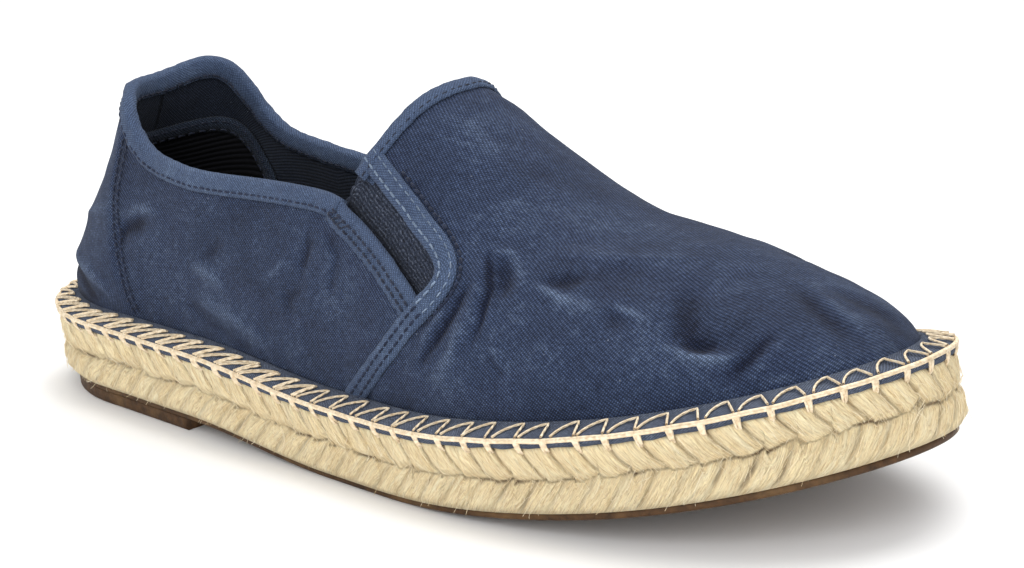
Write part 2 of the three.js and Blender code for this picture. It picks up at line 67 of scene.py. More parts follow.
THROAT_TAPE_WIDTH = 3.6
SEAM_TAPE_WIDTH = 5.4
QUARTER_TAPE_WIDTH = 6.2
FOLD_THICKNESS, FOLD_INSIDE, SCALLOP_PITCH = 1.0, 4.5, 2.6
TAPE_STEP, TAPE_PUCKER = 1.2, 2.0

# Half widths of the sole as shares of the ball width: place along the sole, width
LATERAL_ROWS = [
    (0.0, 0.3), (0.12, 0.33), (0.22, 0.365), (0.35, 0.412), (0.48, 0.455),
    (0.62, 0.505), (0.72, 0.527), (0.84, 0.562), (1.0, 0.59),
]
MEDIAL_ROWS = [
    (0.0, 0.32), (0.12, 0.325), (0.22, 0.305), (0.35, 0.29), (0.48, 0.34),
    (0.62, 0.455), (0.72, 0.5), (0.84, 0.455), (1.0, 0.45),
]
# Height of the last's top line, as shares of the instep height
CROWN_ROWS = [
    (0.0, 1.55), (0.15, 1.5), (0.27, 1.36), (0.36, 1.2), (0.42, 1.11), (0.5, 1.035),
    (0.6, 0.825), (0.7, 0.597), (0.8, 0.472), (0.9, 0.345), (1.0, 0.26),
]
# How far the heel's back leans forward, as shares of the heel height
BACK_ROWS = [(0.0, 0.0), (0.12, 0.01), (0.3, 0.085), (0.5, 0.22), (0.75, 0.41), (1.0, 0.525), (1.2, 0.56)]
HEEL_ROUND, LATERAL_TOE_ROUND, MEDIAL_TOE_ROUND, CROWN_TOE_ROUND = 0.135, 0.4, 0.22, 0.17
HEEL_FLAT_END, FOREFOOT_START, SPRING_START, SPRING_POWER = 0.28, 0.48, 0.547, 1.8
LEAN_REACH, LEAN_POWER, TUCK_SHARE, TUCK_HEIGHT = 0.4, 1.6, 0.035, 14.0

# The collar's girth on the lateral and medial sides, by place along the sole
COLLAR_ROWS = [
    (0.0, 0.58, 0.58), (0.04, 0.565, 0.582), (0.08, 0.527, 0.54), (0.12, 0.471, 0.462),
    (0.17, 0.42, 0.404), (0.22, 0.408, 0.392), (0.288, 0.419, 0.402), (0.343, 0.457, 0.412),
    (0.4, 0.499, 0.446), (0.44, 0.514, 0.488), (0.47, 0.51, 0.51),
]
# Lines on the upper: place along the sole, share of the girth from the foot to the top line
THROAT_LINE = [(0.49, 0.64), (0.5, 0.72), (0.506, 0.785), (0.511, 0.855), (0.517, 0.93), (0.52, 1.0)]
THROAT_TAPE_START, VAMP_TAPE_START = (0.484, 0.6), (0.486, 0.636)
GORE_FRONT_START, GORE_BACK_START = (0.48, 0.64), (0.455, 0.5)
QUARTER_LINE = [
    (0.448, 0.54), (0.467, 0.515), (0.495, 0.485), (0.524, 0.447), (0.549, 0.41), (0.573, 0.375),
    (0.589, 0.345),
]
VAMP_LINE = [
    (0.455, 0.655), (0.48, 0.648), (0.494, 0.622), (0.518, 0.585), (0.547, 0.545), (0.577, 0.512),
    (0.598, 0.482), (0.607, 0.447), (0.603, 0.4), (0.589, 0.345),
]
SEAM_LINE = [(0.589, 0.345), (0.565, 0.258), (0.54, 0.17), (0.516, 0.09), (0.495, 0.025)]
COUNTER_LINE = [(0.18, 0.025), (0.165, 0.09), (0.142, 0.176), (0.124, 0.253), (0.111, 0.337), (0.103, 0.44)]
LINING_LINE = [(0.0, 0.43), (0.06, 0.42), (0.12, 0.35), (0.18, 0.24), (0.24, 0.1), (0.27, 0.0)]


def spline(rows):
    """A smooth curve through rows of (place, value), straight at both ends."""
    x = np.array([row[0] for row in rows], float)
    y = np.array([row[1] for row in rows], float)
    step = np.diff(x)
    system = np.eye(len(x))
    change = np.zeros(len(x))
    for i in range(1, len(x) - 1):
        system[i, i - 1:i + 2] = step[i - 1], 2 * (step[i - 1] + step[i]), step[i]
        change[i] = 6 * ((y[i + 1] - y[i]) / step[i] - (y[i] - y[i - 1]) / step[i - 1])
    bend = np.linalg.solve(system, change)

    def value(at):
        at = np.clip(at, x[0], x[-1])
        i = np.clip(np.searchsorted(x, at, side="right") - 1, 0, len(x) - 2)
        a = (x[i + 1] - at) / step[i]
        b = 1 - a
        curved = ((a**3 - a) * bend[i] + (b**3 - b) * bend[i + 1]) * step[i] ** 2 / 6
        return a * y[i] + b * y[i + 1] + curved

    return value


lateral_width = spline(LATERAL_ROWS)
medial_width = spline(MEDIAL_ROWS)
crown_rise = spline(CROWN_ROWS)
back_lean = spline(BACK_ROWS)
lateral_collar = spline([row[:2] for row in COLLAR_ROWS])
medial_collar = spline([row[::2] for row in COLLAR_ROWS])
COLLAR_END = COLLAR_ROWS[-1][0]


def smooth(value, low, high):
    t = np.clip((value - low) / (high - low), 0, 1)
    return t * t * (3 - 2 * t)


def collar_girth(along, turn):
    medial = smooth(turn, -0.1, 0.1)
    return lateral_collar(along) * (1 - medial) + medial_collar(along) * medial


def round_end(distance, length):
    return np.sqrt(1 - (1 - np.clip(distance / length, 0, 1)) ** 2)


# A place round the shoe is a turn: 0 at the heel, 1 or -1 at the toe, negative on the lateral side
def side_of(turn):
    return np.where(turn < 0, -1, 1) * np.where(np.abs(turn) > 1, -1, 1)


def along_at(turn, inset):
    return inset + (SOLE_LENGTH - 2 * inset) * (1 - np.cos(np.pi * turn)) / 2


def turn_at(along, side):
    share = np.clip((np.asarray(along) * SOLE_LENGTH - UPPER_INSET) / (SOLE_LENGTH - 2 * UPPER_INSET), 0, 1)
    return side * np.arccos(1 - 2 * share) / np.pi


def underside(x):
    spring = np.maximum(0, (x / SOLE_LENGTH - SPRING_START) / (1 - SPRING_START))
    step = smooth(x / SOLE_LENGTH, HEEL_FLAT_END, FOREFOOT_START)
    return RUBBER + CLEARANCE + (HEEL_PAD + CLEARANCE) * (1 - step) + TOE_SPRING * spring**SPRING_POWER


def bent(x, lean, y, height):
    """Sets a height off the sole's curved underside, square to it."""
    angle = np.arctan(underside(x + 0.5) - underside(x - 0.5))
    flat = x + lean - height * np.sin(angle)
    return np.stack(np.broadcast_arrays(flat, y, underside(x) + height * np.cos(angle)), -1)


def half_width(x, side, inset):
    share = x / SOLE_LENGTH
    width = np.where(side < 0, lateral_width(share), medial_width(share)) * BALL_WIDTH - inset
    toe = np.where(side < 0, LATERAL_TOE_ROUND, MEDIAL_TOE_ROUND) * SOLE_LENGTH - inset
    heel = HEEL_ROUND * SOLE_LENGTH - inset
    return width * round_end(x - inset, heel) * round_end(SOLE_LENGTH - inset - x, toe)


def spine(x):
    return TOE_SHIFT * (x / SOLE_LENGTH) ** 3


def sole_point(turn, inset, height):
    """A point of the sole's outline, drawn in by inset, at a height above the jute's underside."""
    x = along_at(turn, inset)
    side = side_of(turn)
    return bent(x, 0, spine(x) + side * half_width(x, side, inset), height)


def last_point(turn, angle):
    """A point of the smooth last at a turn, its angle going from 0 at the foot to a right angle on top."""
    x = along_at(turn, UPPER_INSET)
    side = side_of(turn)
    crown = crown_rise(x / SOLE_LENGTH) * INSTEP
    height = crown * round_end(SOLE_LENGTH - UPPER_INSET - x, CROWN_TOE_ROUND * SOLE_LENGTH) * np.sin(angle)
    tuck = 1 - TUCK_SHARE * (1 - np.clip(height / TUCK_HEIGHT, 0, 1)) ** 2
    y = spine(x) + side * half_width(x, side, UPPER_INSET) * np.cos(angle) * tuck
    near = 1 - np.clip(x / (LEAN_REACH * SOLE_LENGTH), 0, 1)
    lean = back_lean(height / HEEL_HEIGHT) * HEEL_HEIGHT * near**LEAN_POWER
    return bent(x, lean, y, JUTE_HEIGHT + CLEARANCE + height)


def lengths_along(points, axis=0):
    """Distances along rows of points, each from zero at its first point."""
    steps = np.linalg.norm(np.diff(points, axis=axis), axis=-1)
    start = np.zeros_like(np.take(steps, [0], axis))
    return np.concatenate([start, np.cumsum(steps, axis=axis)], axis)


SECTION_STEPS, WALK_STEPS = 40, 3


def section_lengths(turn):
    """Distances up the upper's sections, from the foot to the top line."""
    angles = np.linspace(0, np.pi / 2, SECTION_STEPS + 1)
    return lengths_along(last_point(turn[:, None], angles[None, :]), 1)


def face(turn, girth):
    """A point of the upper's outer face. A girth over 1 has crossed the top line."""
    turn, girth = np.broadcast_arrays(np.asarray(turn, float), np.asarray(girth, float))
    shape = turn.shape
    turn, girth = turn.ravel(), girth.ravel()
    crossed = girth > 1
    turn = np.where(crossed, -turn, turn)
    girth = np.where(crossed, 2 - girth, girth)
    unique, back = np.unique(turn, return_inverse=True)
    lengths = section_lengths(unique)[back]
    target = np.maximum(girth, 0) * lengths[:, -1]
    i = np.clip((lengths[:, 1:] < target[:, None]).sum(1), 0, SECTION_STEPS - 1)
    row = np.arange(len(i))
    span = np.maximum(lengths[row, i + 1] - lengths[row, i], 1e-9)
    share = np.clip((target - lengths[row, i]) / span, 0, 1)
    return last_point(turn, (i + share) / SECTION_STEPS * np.pi / 2).reshape(shape + (3,))


def face_frame(turn, girth):
    """How the outer face runs at a point: along the turn, along the girth, and out of it."""
    low = np.maximum(girth - 0.01, 0)
    high = np.maximum(girth, 0) + 0.01
    around = (face(turn + 0.004, girth) - face(turn - 0.004, girth)) / 0.008
    upward = (face(turn, high) - face(turn, low)) / (high - low)[..., None]
    out = np.cross(upward, around)
    size = np.linalg.norm(out, axis=-1, keepdims=True)
    out = np.where(size > 1e-6, out / np.maximum(size, 1e-6), [1.0, 0.0, 0.0])
    return around, upward, out


def walk(turn, girth, direction, distance):
    """The place that lies a distance away on the face, in a direction."""
    for _ in range(WALK_STEPS):
        around, upward, _ = face_frame(turn, girth)
        move = direction * np.asarray(distance)[..., None] / WALK_STEPS
        aa = (around * around).sum(-1)
        ab = (around * upward).sum(-1)
        bb = (upward * upward).sum(-1)
        det = aa * bb - ab * ab
        ma = (move * around).sum(-1)
        mb = (move * upward).sum(-1)
        turn = turn + (bb * ma - ab * mb) / det
        girth = np.maximum(girth + (aa * mb - ab * ma) / det, 0.004)
    return turn, girth


_girth_alongs = np.linspace(0.03, 0.99, 60)
_girth_sizes = section_lengths(turn_at(_girth_alongs, -1))[:, -1]


def developed(turn, girth):
    """Place on the cloth in millimetres: along the shoe, up from its foot, and which side."""
    side = np.where(girth > 1, -side_of(turn), side_of(turn))
    girth = np.where(girth > 1, 2 - girth, girth)
    x = along_at(turn, UPPER_INSET)
    return x, girth * np.interp(x / SOLE_LENGTH, _girth_alongs, _girth_sizes), side


# Creases in the canvas, placed at round shares. A negative depth is a trough, a positive one a
# ridge, and tone darkens or lightens the cloth there. Points are places along the sole and girth shares.
# The tone is painted shade in troughs and dents, and on ridges painted highlight together with paler worn
# cloth.
LATERAL_CREASES = [
    # width, depth, tone, points
    # The pinch in front of the gore: a sharp fold beside a hollow with a soft rim
    (0.9, -1.0, -1.1, [(0.65, 0.57), (0.665, 0.46), (0.665, 0.34), (0.66, 0.27)]),
    (2.8, -1.3, -0.5, [(0.66, 0.55), (0.675, 0.52), (0.68, 0.44)]),
    (1.5, 0.5, 0.45, [(0.65, 0.58), (0.67, 0.6), (0.685, 0.56), (0.695, 0.5)]),
    (2.0, 0.7, 0.1, [(0.645, 0.53), (0.655, 0.42), (0.65, 0.33), (0.64, 0.23)]),
    (1.3, 0.3, 0.3, [(0.68, 0.3), (0.69, 0.22), (0.705, 0.15)]),
    (0.9, -0.4, -0.6, [(0.68, 0.25), (0.7, 0.17)]),
    # Folds that fan down from the corner of the gore
    (1.2, -0.9, -0.9, [(0.645, 0.46), (0.635, 0.35), (0.62, 0.26), (0.6, 0.17)]),
    (1.1, -0.6, -0.7, [(0.635, 0.43), (0.615, 0.35), (0.59, 0.25)]),
    (1.6, 0.5, 0.3, [(0.64, 0.45), (0.62, 0.33), (0.6, 0.23)]),
    (1.8, 0.4, 0.35, [(0.645, 0.33), (0.64, 0.24), (0.625, 0.15)]),
    # Pale streaks on raised ridges, worn and with painted highlight, and soft dents with painted shade along
    # the vamp
    (1.2, 0.5, 0.9, [(0.705, 0.52), (0.725, 0.5), (0.745, 0.475)]),
    (2.2, -0.7, -0.55, [(0.71, 0.53), (0.735, 0.56), (0.75, 0.6)]),
    (2.0, 0.3, 0.35, [(0.735, 0.485), (0.76, 0.465), (0.79, 0.455)]),
    (1.1, 0.4, 0.7, [(0.785, 0.49), (0.805, 0.465), (0.82, 0.43)]),
    (2.2, -0.5, -0.5, [(0.78, 0.47), (0.805, 0.4)]),
    (5.0, -0.7, -0.15, [(0.76, 0.66), (0.79, 0.62), (0.82, 0.6)]),
    (3.0, 0.5, 0.25, [(0.7, 0.66), (0.78, 0.74), (0.83, 0.85)]),
    # The bent hollow behind the toe, with painted shade in it, and a pale rim that is worn and has painted
    # highlight
    (3.0, -1.2, -0.85, [(0.84, 0.66), (0.85, 0.48), (0.86, 0.36), (0.875, 0.335), (0.885, 0.36)]),
    (1.6, -0.8, -0.8, [(0.86, 0.36), (0.87, 0.33), (0.88, 0.335)]),
    (1.3, 0.7, 0.9, [(0.845, 0.33), (0.86, 0.295), (0.88, 0.265), (0.9, 0.28)]),
    (1.5, -0.8, -0.8, [(0.915, 0.44), (0.91, 0.31), (0.895, 0.15)]),
    (1.8, 0.4, 0.3, [(0.92, 0.4), (0.91, 0.18)]),
    # A long fold that follows the edge of the toe
    (1.9, -0.8, -0.75, [(0.9, 0.96), (0.92, 0.86), (0.94, 0.77), (0.96, 0.66), (0.97, 0.48)]),
    (1.6, 0.6, 0.6, [(0.915, 0.97), (0.945, 0.86), (0.965, 0.74), (0.975, 0.56)]),
    # Small dents on the quarter with painted shade in them, and low ridges with painted highlight and wear
    (1.5, -0.5, -0.6, [(0.43, 0.41), (0.42, 0.28)]),
    (1.5, -0.4, -0.5, [(0.455, 0.425), (0.475, 0.39), (0.485, 0.345)]),
    (1.6, -0.4, -0.45, [(0.475, 0.36), (0.475, 0.27)]),
    (1.5, -0.4, -0.4, [(0.415, 0.18), (0.405, 0.22), (0.425, 0.26)]),
    (1.3, 0.3, 0.5, [(0.37, 0.23), (0.39, 0.285), (0.4, 0.33)]),
    (1.2, -0.3, -0.4, [(0.29, 0.22), (0.31, 0.275)]),
    (2.0, 0.5, 0.5, [(0.275, 0.2), (0.3, 0.185), (0.32, 0.165)]),
    (2.0, -0.5, -0.45, [(0.27, 0.1), (0.32, 0.055), (0.36, 0.03)]),
    (2.2, 0.4, 0.3, [(0.29, 0.12), (0.34, 0.1), (0.38, 0.07)]),
    # Dents beside the heel seam and folds low on the heel
    (2.6, -1.0, -0.9, [(0.15, 0.19), (0.155, 0.23), (0.19, 0.255)]),
    (1.6, 0.5, 0.5, [(0.145, 0.24), (0.17, 0.28), (0.205, 0.29)]),
    (1.7, -1.0, -0.9, [(0.04, 0.085), (0.08, 0.075), (0.12, 0.04)]),
    (1.5, -0.8, -0.8, [(0.05, 0.03), (0.09, 0.025), (0.13, 0.015)]),
    (1.7, 0.8, 0.55, [(0.05, 0.12), (0.1, 0.1), (0.135, 0.075), (0.15, 0.05)]),
    (1.6, 0.4, 0.4, [(0.03, 0.2), (0.08, 0.245), (0.125, 0.27)]),
]
# The far side is out of sight: the same bends, milder
MEDIAL_CREASES = [
    (1.1, -0.8, -0.8, [(0.65, 0.6), (0.66, 0.5), (0.66, 0.4), (0.655, 0.3)]),
    (1.8, 0.5, 0.3, [(0.665, 0.58), (0.67, 0.48), (0.675, 0.38), (0.67, 0.28)]),
    (1.4, -0.6, -0.6, [(0.64, 0.44), (0.63, 0.36), (0.605, 0.2)]),
    (2.6, -0.9, -0.6, [(0.84, 0.7), (0.85, 0.5), (0.87, 0.36)]),
    (1.5, 0.6, 0.6, [(0.85, 0.36), (0.87, 0.29), (0.89, 0.29)]),
    (1.8, -0.6, -0.5, [(0.91, 0.9), (0.935, 0.79), (0.955, 0.67), (0.97, 0.52)]),
    (1.6, -0.5, -0.5, [(0.43, 0.38), (0.42, 0.26)]),
    (2.2, -0.8, -0.7, [(0.05, 0.08), (0.085, 0.07), (0.12, 0.045)]),
    (1.6, 0.6, 0.4, [(0.05, 0.125), (0.09, 0.11), (0.13, 0.08)]),
    (2.4, -0.7, -0.6, [(0.155, 0.2), (0.16, 0.24), (0.185, 0.26)]),
]
# The second value scales the crease tone: painted shade in troughs, painted highlight and wear on ridges.
CREASE_DEPTH, CREASE_SHADE_HIGHLIGHT_WEAR = 1.25, 1.35


def crease_fields(turn, girth):
    """How far creases raise the cloth, in millimetres, and how they shade it."""
    a, b, side = developed(turn, girth)
    rise = np.zeros_like(a)
    tone = np.zeros_like(a)
    creases = [(-1, *row) for row in LATERAL_CREASES] + [(1, *row) for row in MEDIAL_CREASES]
    for crease_side, width, depth, shade, points in creases:
        line_turn = turn_at(np.array([p[0] for p in points]), crease_side)
        line_a, line_b, _ = developed(line_turn, np.array([p[1] for p in points]))
        sizes = np.hypot(np.diff(line_a), np.diff(line_b))
        total = sizes.sum()
        nearest = np.full(a.shape, 1e9)
        place = np.zeros_like(a)
        for k, size in enumerate(sizes):
            ua, ub = (line_a[k + 1] - line_a[k]) / size, (line_b[k + 1] - line_b[k]) / size
            t = np.clip((a - line_a[k]) * ua + (b - line_b[k]) * ub, 0, size)
            gap = np.hypot(a - line_a[k] - t * ua, b - line_b[k] - t * ub)
            closer = gap < nearest
            nearest = np.where(closer, gap, nearest)
            place = np.where(closer, (sizes[:k].sum() + t) / total, place)
        taper = np.sqrt(np.sin(np.pi * np.clip(place, 0.02, 0.98)))
        amount = np.exp(-((nearest / width) ** 2)) * taper * (side == crease_side)
        rise += CREASE_DEPTH * depth * amount
        tone += CREASE_SHADE_HIGHLIGHT_WEAR * shade * amount
    return rise, tone


def wander(distances, size, row, seed):
    """Smooth random sway along a line, in waves of a size in millimetres, from -1 to 1."""
    return np.array([noise.noise(Vector((d / size, row, seed))) for d in distances])


def ripple(points, size, seed):
    """Smooth random waves of a size in millimetres, from -1 to 1."""
    places = (points / size + seed).reshape(-1, 3)
    return np.array([noise.noise(Vector(p)) for p in places]).reshape(points.shape[:-1])


def relief(turn, girth):
    """Rise of the cloth over the smooth last, and its shade."""
    rise, tone = crease_fields(turn, girth)
    points = face(turn, girth)
    rise = rise + 0.65 * ripple(points, 24.0, 1.3) + 0.3 * ripple(points, 8.0, 5.1)
    return rise * (0.15 + 0.85 * smooth(girth, 0.0, 0.1)), tone


def skin(turn, girth, depth):
    """A point of the cloth with its creases, moved out by a depth."""
    turn, girth = np.broadcast_arrays(np.asarray(turn, float), np.asarray(girth, float))
    _, _, out = face_frame(turn, girth)
    rise, _ = relief(turn, girth)
    return face(turn, girth) + out * (np.asarray(depth) + rise)[..., None]


# Meshes
def grid_faces(rows, columns, close_rows=False, close_columns=False):
    i = np.arange(rows if close_rows else rows - 1)[:, None]
    j = np.arange(columns if close_columns else columns - 1)[None, :]
    ni, nj = (i + 1) % rows, (j + 1) % columns
    corners = [i * columns + j, i * columns + nj, ni * columns + nj, ni * columns + j]
    return np.stack([np.broadcast_to(c, (len(i), j.shape[1])).ravel() for c in corners], 1)


def turn_outward(mesh):
    work = bmesh.new()
    work.from_mesh(mesh)
    bmesh.ops.recalc_face_normals(work, faces=work.faces)
    work.to_mesh(mesh)
    work.free()


def cloth_uv(points):
    """Places on a sheet, in millimetres along its rows and across them."""
    return np.stack([lengths_along(points, 0), lengths_along(points, 1)], -1)


class Parts:
    """Gathers the points, faces and cloth places of one mesh."""

    def __init__(self):
        self.points, self.faces, self.uvs, self.tones, self.count = [], [], [], [], 0

    def add(self, points, faces, uv=None, tone=None):
        points = np.asarray(points, float).reshape(-1, 3)
        self.points.append(points)
        self.faces.extend([int(v) + self.count for v in corners] for corners in faces)
        self.uvs.append(np.zeros((len(points), 2)) if uv is None else np.asarray(uv, float).reshape(-1, 2))
        self.tones.append(np.zeros(len(points)) if tone is None else np.asarray(tone, float).ravel())
        self.count += len(points)

    def piece(self, name, material, slot, nodes=(), weld=None, closed=True):
        points = np.concatenate(self.points) - [HEEL_TREAD, 0, 0]
        mesh = bpy.data.meshes.new(name)
        mesh.from_pydata((points * 0.001).tolist(), [], self.faces)
        loops = np.empty(len(mesh.loops), int)
        mesh.loops.foreach_get("vertex_index", loops)
        layer = mesh.uv_layers.new(name="cloth")
        layer.data.foreach_set("uv", np.concatenate(self.uvs)[loops].ravel())
        tone = mesh.attributes.new("tone", "FLOAT", "POINT")
        tone.data.foreach_set("value", np.concatenate(self.tones))
        mesh.validate()
        if closed:
            turn_outward(mesh)
        mesh.update()
        mesh.shade_smooth()
        thing = bpy.data.objects.new(name, mesh)
        bpy.context.scene.collection.objects.link(thing)
        for each in material if isinstance(material, (list, tuple)) else [material]:
            mesh.materials.append(each)
        if weld:
            modifier = thing.modifiers.new("weld", "WELD")
            modifier.merge_threshold = weld * 0.001
        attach(thing, "root")
        if nodes:
            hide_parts(*nodes)
        return thing


def thicken(piece, wall):
    """Gives a sheet a wall, inward from its face."""
    solid = piece.modifiers.new("wall", "SOLIDIFY")
    solid.thickness = wall * 0.001
    solid.offset = -1
    return solid


def unit(v):
    return v / np.maximum(np.linalg.norm(v, axis=-1, keepdims=True), 1e-9)


def tube(parts, points, radius, sides=6):
    """A thread along points, open at its ends."""
    points = np.asarray(points, float)
    run = unit(np.gradient(points, axis=0))
    first = unit(np.cross(run, [0.13, 0.21, 1.0]))
    second = np.cross(run, first)
    turns = np.linspace(0, 2 * np.pi, sides, endpoint=False)
    radius = np.broadcast_to(np.asarray(radius, float), len(points))
    rings = points[:, None] + radius[:, None, None] * (
        first[:, None] * np.cos(turns)[None, :, None] + second[:, None] * np.sin(turns)[None, :, None]
    )
    length = lengths_along(points)
    uv = np.stack(np.broadcast_arrays(length[:, None], turns[None, :]), -1)
    parts.add(rings, grid_faces(len(points), sides, close_columns=True), uv)


def line_places(rows, side, step):
    """Turns and girths along a line on the upper, a step in millimetres apart."""
    rows = np.array(rows, float)
    marks = lengths_along(rows * [SOLE_LENGTH, USUAL_GIRTH])
    along = spline(list(zip(marks, rows[:, 0])))
    girth = spline(list(zip(marks, rows[:, 1])))
    fine = np.linspace(0, marks[-1], 240)
    return even_places(turn_at(along(fine), side), girth(fine), step)


def even_places(turn, girth, step):
    marks = lengths_along(face(turn, girth))
    even = np.linspace(0, marks[-1], max(2, int(round(marks[-1] / step)) + 1))
    return np.interp(even, marks, turn), np.interp(even, marks, girth)


def collar_places(step):
    end = turn_at(COLLAR_END, 1)
    turn = np.linspace(-end, end, 600)
    return even_places(turn, collar_girth(along_at(turn, UPPER_INSET) / SOLE_LENGTH, turn), step)


def throat_places(step):
    turn, girth = line_places([THROAT_TAPE_START] + THROAT_LINE, -1, 0.8)
    turn, girth = np.concatenate([turn, turn[-2::-1]]), np.concatenate([girth, 2 - girth[-2::-1]])
    return even_places(turn, girth, step)


def across_line(turn, girth):
    """The direction to the left of a line's run on the face, seen from outside."""
    points = face(turn, girth)
    run = np.gradient(points, axis=0)
    _, _, out = face_frame(turn, girth)
    return unit(np.cross(out, run))


def beside(turn, girth, offset):
    """A line's places, set to its left by an offset in millimetres."""
    return walk(turn, girth, across_line(turn, girth), np.full(len(turn), float(offset)))


def strip(parts, turn, girth, outline, pucker, pitch, tone=0.0, scallop=0.0):
    """A tape along a line: outline gives distances to the left of the line and depths."""
    outline = np.array(outline, float)
    n, m = len(turn), len(outline)
    direction = np.repeat(across_line(turn, girth), m, axis=0)
    distance = np.tile(outline[:, 0], n)
    depth = np.tile(outline[:, 1], n)
    length = lengths_along(face(turn, girth))
    wave = np.repeat(wander(length, pitch, 0.5, 7.7), m)
    far = np.clip(np.abs(distance) / np.abs(outline[:, 0]).max() * 3 - 2, 0, 1)
    bite = np.repeat(np.abs(np.sin(np.pi * length / SCALLOP_PITCH)), m)
    distance = distance - np.sign(distance) * far * bite * scallop
    t, g = walk(np.repeat(turn, m), np.repeat(girth, m), direction, distance)
    placed = skin(t, g, depth + pucker * wave * np.sign(depth + 0.8))
    uv = np.stack([np.repeat(length, m), np.tile(lengths_along(outline), n)], 1)
    faces = grid_faces(n, m, close_columns=True).tolist()
    faces.append(list(range(m))[::-1])
    faces.append([(n - 1) * m + k for k in range(m)])
    parts.add(placed, faces, uv, np.full(n * m, tone))


def folded_outline(width, sign):
    """Section of a tape folded over a cloth edge."""
    low, high = 0.15, 0.15 + FOLD_THICKNESS
    deep = -WALL - 0.2
    outline = [
        (-width, low), (-width - 0.15, (low + high) / 2), (-width + 0.5, high * 0.95),
        (-width * 0.6, high), (-width * 0.25, high * 1.05), (0.4, high * 0.8), (1.15, -0.1),
        (1.25, -0.9), (0.9, deep - 0.3), (0.2, deep - 0.8), (-FOLD_INSIDE * 0.5, deep - 0.9),
        (-FOLD_INSIDE, deep - 0.7), (-FOLD_INSIDE, deep), (0.1, deep), (0.3, -0.8), (0.1, low),
    ]
    return [(distance * sign, depth) for distance, depth in outline]


def flat_outline(near, far, thickness=0.9):
    """Section of a flat tape laid on the cloth, with its cut edges turned under."""
    mid, high = (near + far) / 2, 0.1 + thickness
    s = math.copysign(1, far - near)
    return [
        (near - 0.3 * s, -1.2), (near - 0.7 * s, -0.5), (near - 0.5 * s, high * 0.6), (near + 0.2 * s, high),
        ((near + mid) / 2, high * 1.05), (mid, high), ((mid + far) / 2, high * 1.05),
        (far - 0.3 * s, high), (far + 0.1 * s, high * 0.5), (far, -0.2), (mid, -0.2), (near + 0.2 * s, -1.2),
    ]


def stitch_row(parts, turn, girth, offset, depth, pitch=2.6, length=1.7, radius=0.3, lean=0.0):
    """Short stitches on a line, set to its left by offset."""
    turn, girth = beside(turn, girth, offset)
    points = skin(turn, girth, np.full(len(turn), float(depth)))
    marks = lengths_along(points)
    _, _, out = face_frame(turn, girth)
    count = int(marks[-1] / pitch)
    for k in range(count):
        middle = (k + 0.5) * marks[-1] / count
        at = middle + np.array([-0.5, -0.42, -0.22, 0.0, 0.22, 0.42, 0.5]) * length
        spot = np.stack([np.interp(at, marks, points[:, i]) for i in range(3)], 1)
        normal = unit(np.array([np.interp(middle, marks, out[:, i]) for i in range(3)]))
        sideways = unit(np.cross(normal, spot[-1] - spot[0]))
        height = np.array([-0.5, -0.05, 0.2, 0.25, 0.2, -0.05, -0.5]) * radius * 1.6
        spot = spot + normal * height[:, None] + sideways * (lean * np.linspace(-0.5, 0.5, 7))[:, None]
        tube(parts, spot, radius * np.array([0.7, 0.95, 1, 1, 1, 0.95, 0.7]), 5)


# Materials
def new_material(name, roughness=0.85, sheen=0.0):
    material = bpy.data.materials.new(name)
    material.use_nodes = True
    tree = material.node_tree
    shader = tree.nodes["Principled BSDF"]
    shader.inputs["Roughness"].default_value = roughness
    shader.inputs["Sheen Weight"].default_value = sheen
    shader.inputs["Sheen Roughness"].default_value = 0.5
    shader.inputs["Specular IOR Level"].default_value = 0.25
    return material, tree, shader


def node(tree, kind, inputs=None, **settings):
    made = tree.nodes.new("ShaderNode" + kind)
    for key, value in settings.items():
        setattr(made, key, value)
    for key, value in (inputs or {}).items():
        if isinstance(value, bpy.types.NodeSocket):
            tree.links.new(value, made.inputs[key])
        else:
            made.inputs[key].default_value = value
    return made


def math_node(tree, operation, a, b=0.0, c=0.0):
    return node(tree, "Math", {0: a, 1: b, 2: c}, operation=operation).outputs[0]


def mix(tree, factor, a, b, blend="MIX"):
    made = node(tree, "Mix", {0: factor}, data_type="RGBA", blend_type=blend)
    for socket, value in ((made.inputs[6], a), (made.inputs[7], b)):
        if isinstance(value, bpy.types.NodeSocket):
            tree.links.new(value, socket)
        else:
            socket.default_value = (*value, 1.0)
    return made.outputs[2]


def ranged(tree, value, low, high, to_low=0.0, to_high=1.0):
    inputs = {"Value": value, "From Min": low, "From Max": high, "To Min": to_low, "To Max": to_high}
    return node(tree, "MapRange", inputs).outputs[0]


def noise_node(tree, vector, scale, detail=3.0, roughness=0.55, distortion=0.0):
    inputs = {"Vector": vector, "Scale": scale, "Detail": detail, "Roughness": roughness,
              "Distortion": distortion}
    return node(tree, "TexNoise", inputs).outputs["Fac"]


def scaled(tree, vector, scale, rotation=0.0):
    inputs = {"Vector": vector, "Scale": scale, "Rotation": (0.0, 0.0, rotation)}
    return node(tree, "Mapping", inputs).outputs[0]


def bands(tree, vector, period, distortion=0.4, direction="X"):
    """Stripes a period apart, in the units of the vector."""
    inputs = {"Vector": vector, "Scale": math.pi / 10 / period, "Distortion": distortion, "Detail": 1.0,
              "Detail Scale": 3.0}
    return node(tree, "TexWave", inputs, wave_type="BANDS", bands_direction=direction).outputs["Fac"]


def bump(tree, shader, height, distance, strength=1.0, under=None):
    inputs = {"Height": height, "Distance": distance, "Strength": strength}
    if under is not None:
        inputs["Normal"] = under
    made = node(tree, "Bump", inputs)
    tree.links.new(made.outputs[0], shader.inputs["Normal"])
    return made.outputs[0]


def cloth_place(tree):
    return node(tree, "UVMap", uv_map="cloth").outputs[0]


def object_place(tree):
    return node(tree, "TexCoord").outputs["Object"]


def tone_of(tree):
    return node(tree, "Attribute", attribute_name="tone").outputs["Fac"]


def paint(tree, shader, color):
    tree.links.new(color, shader.inputs["Base Color"])


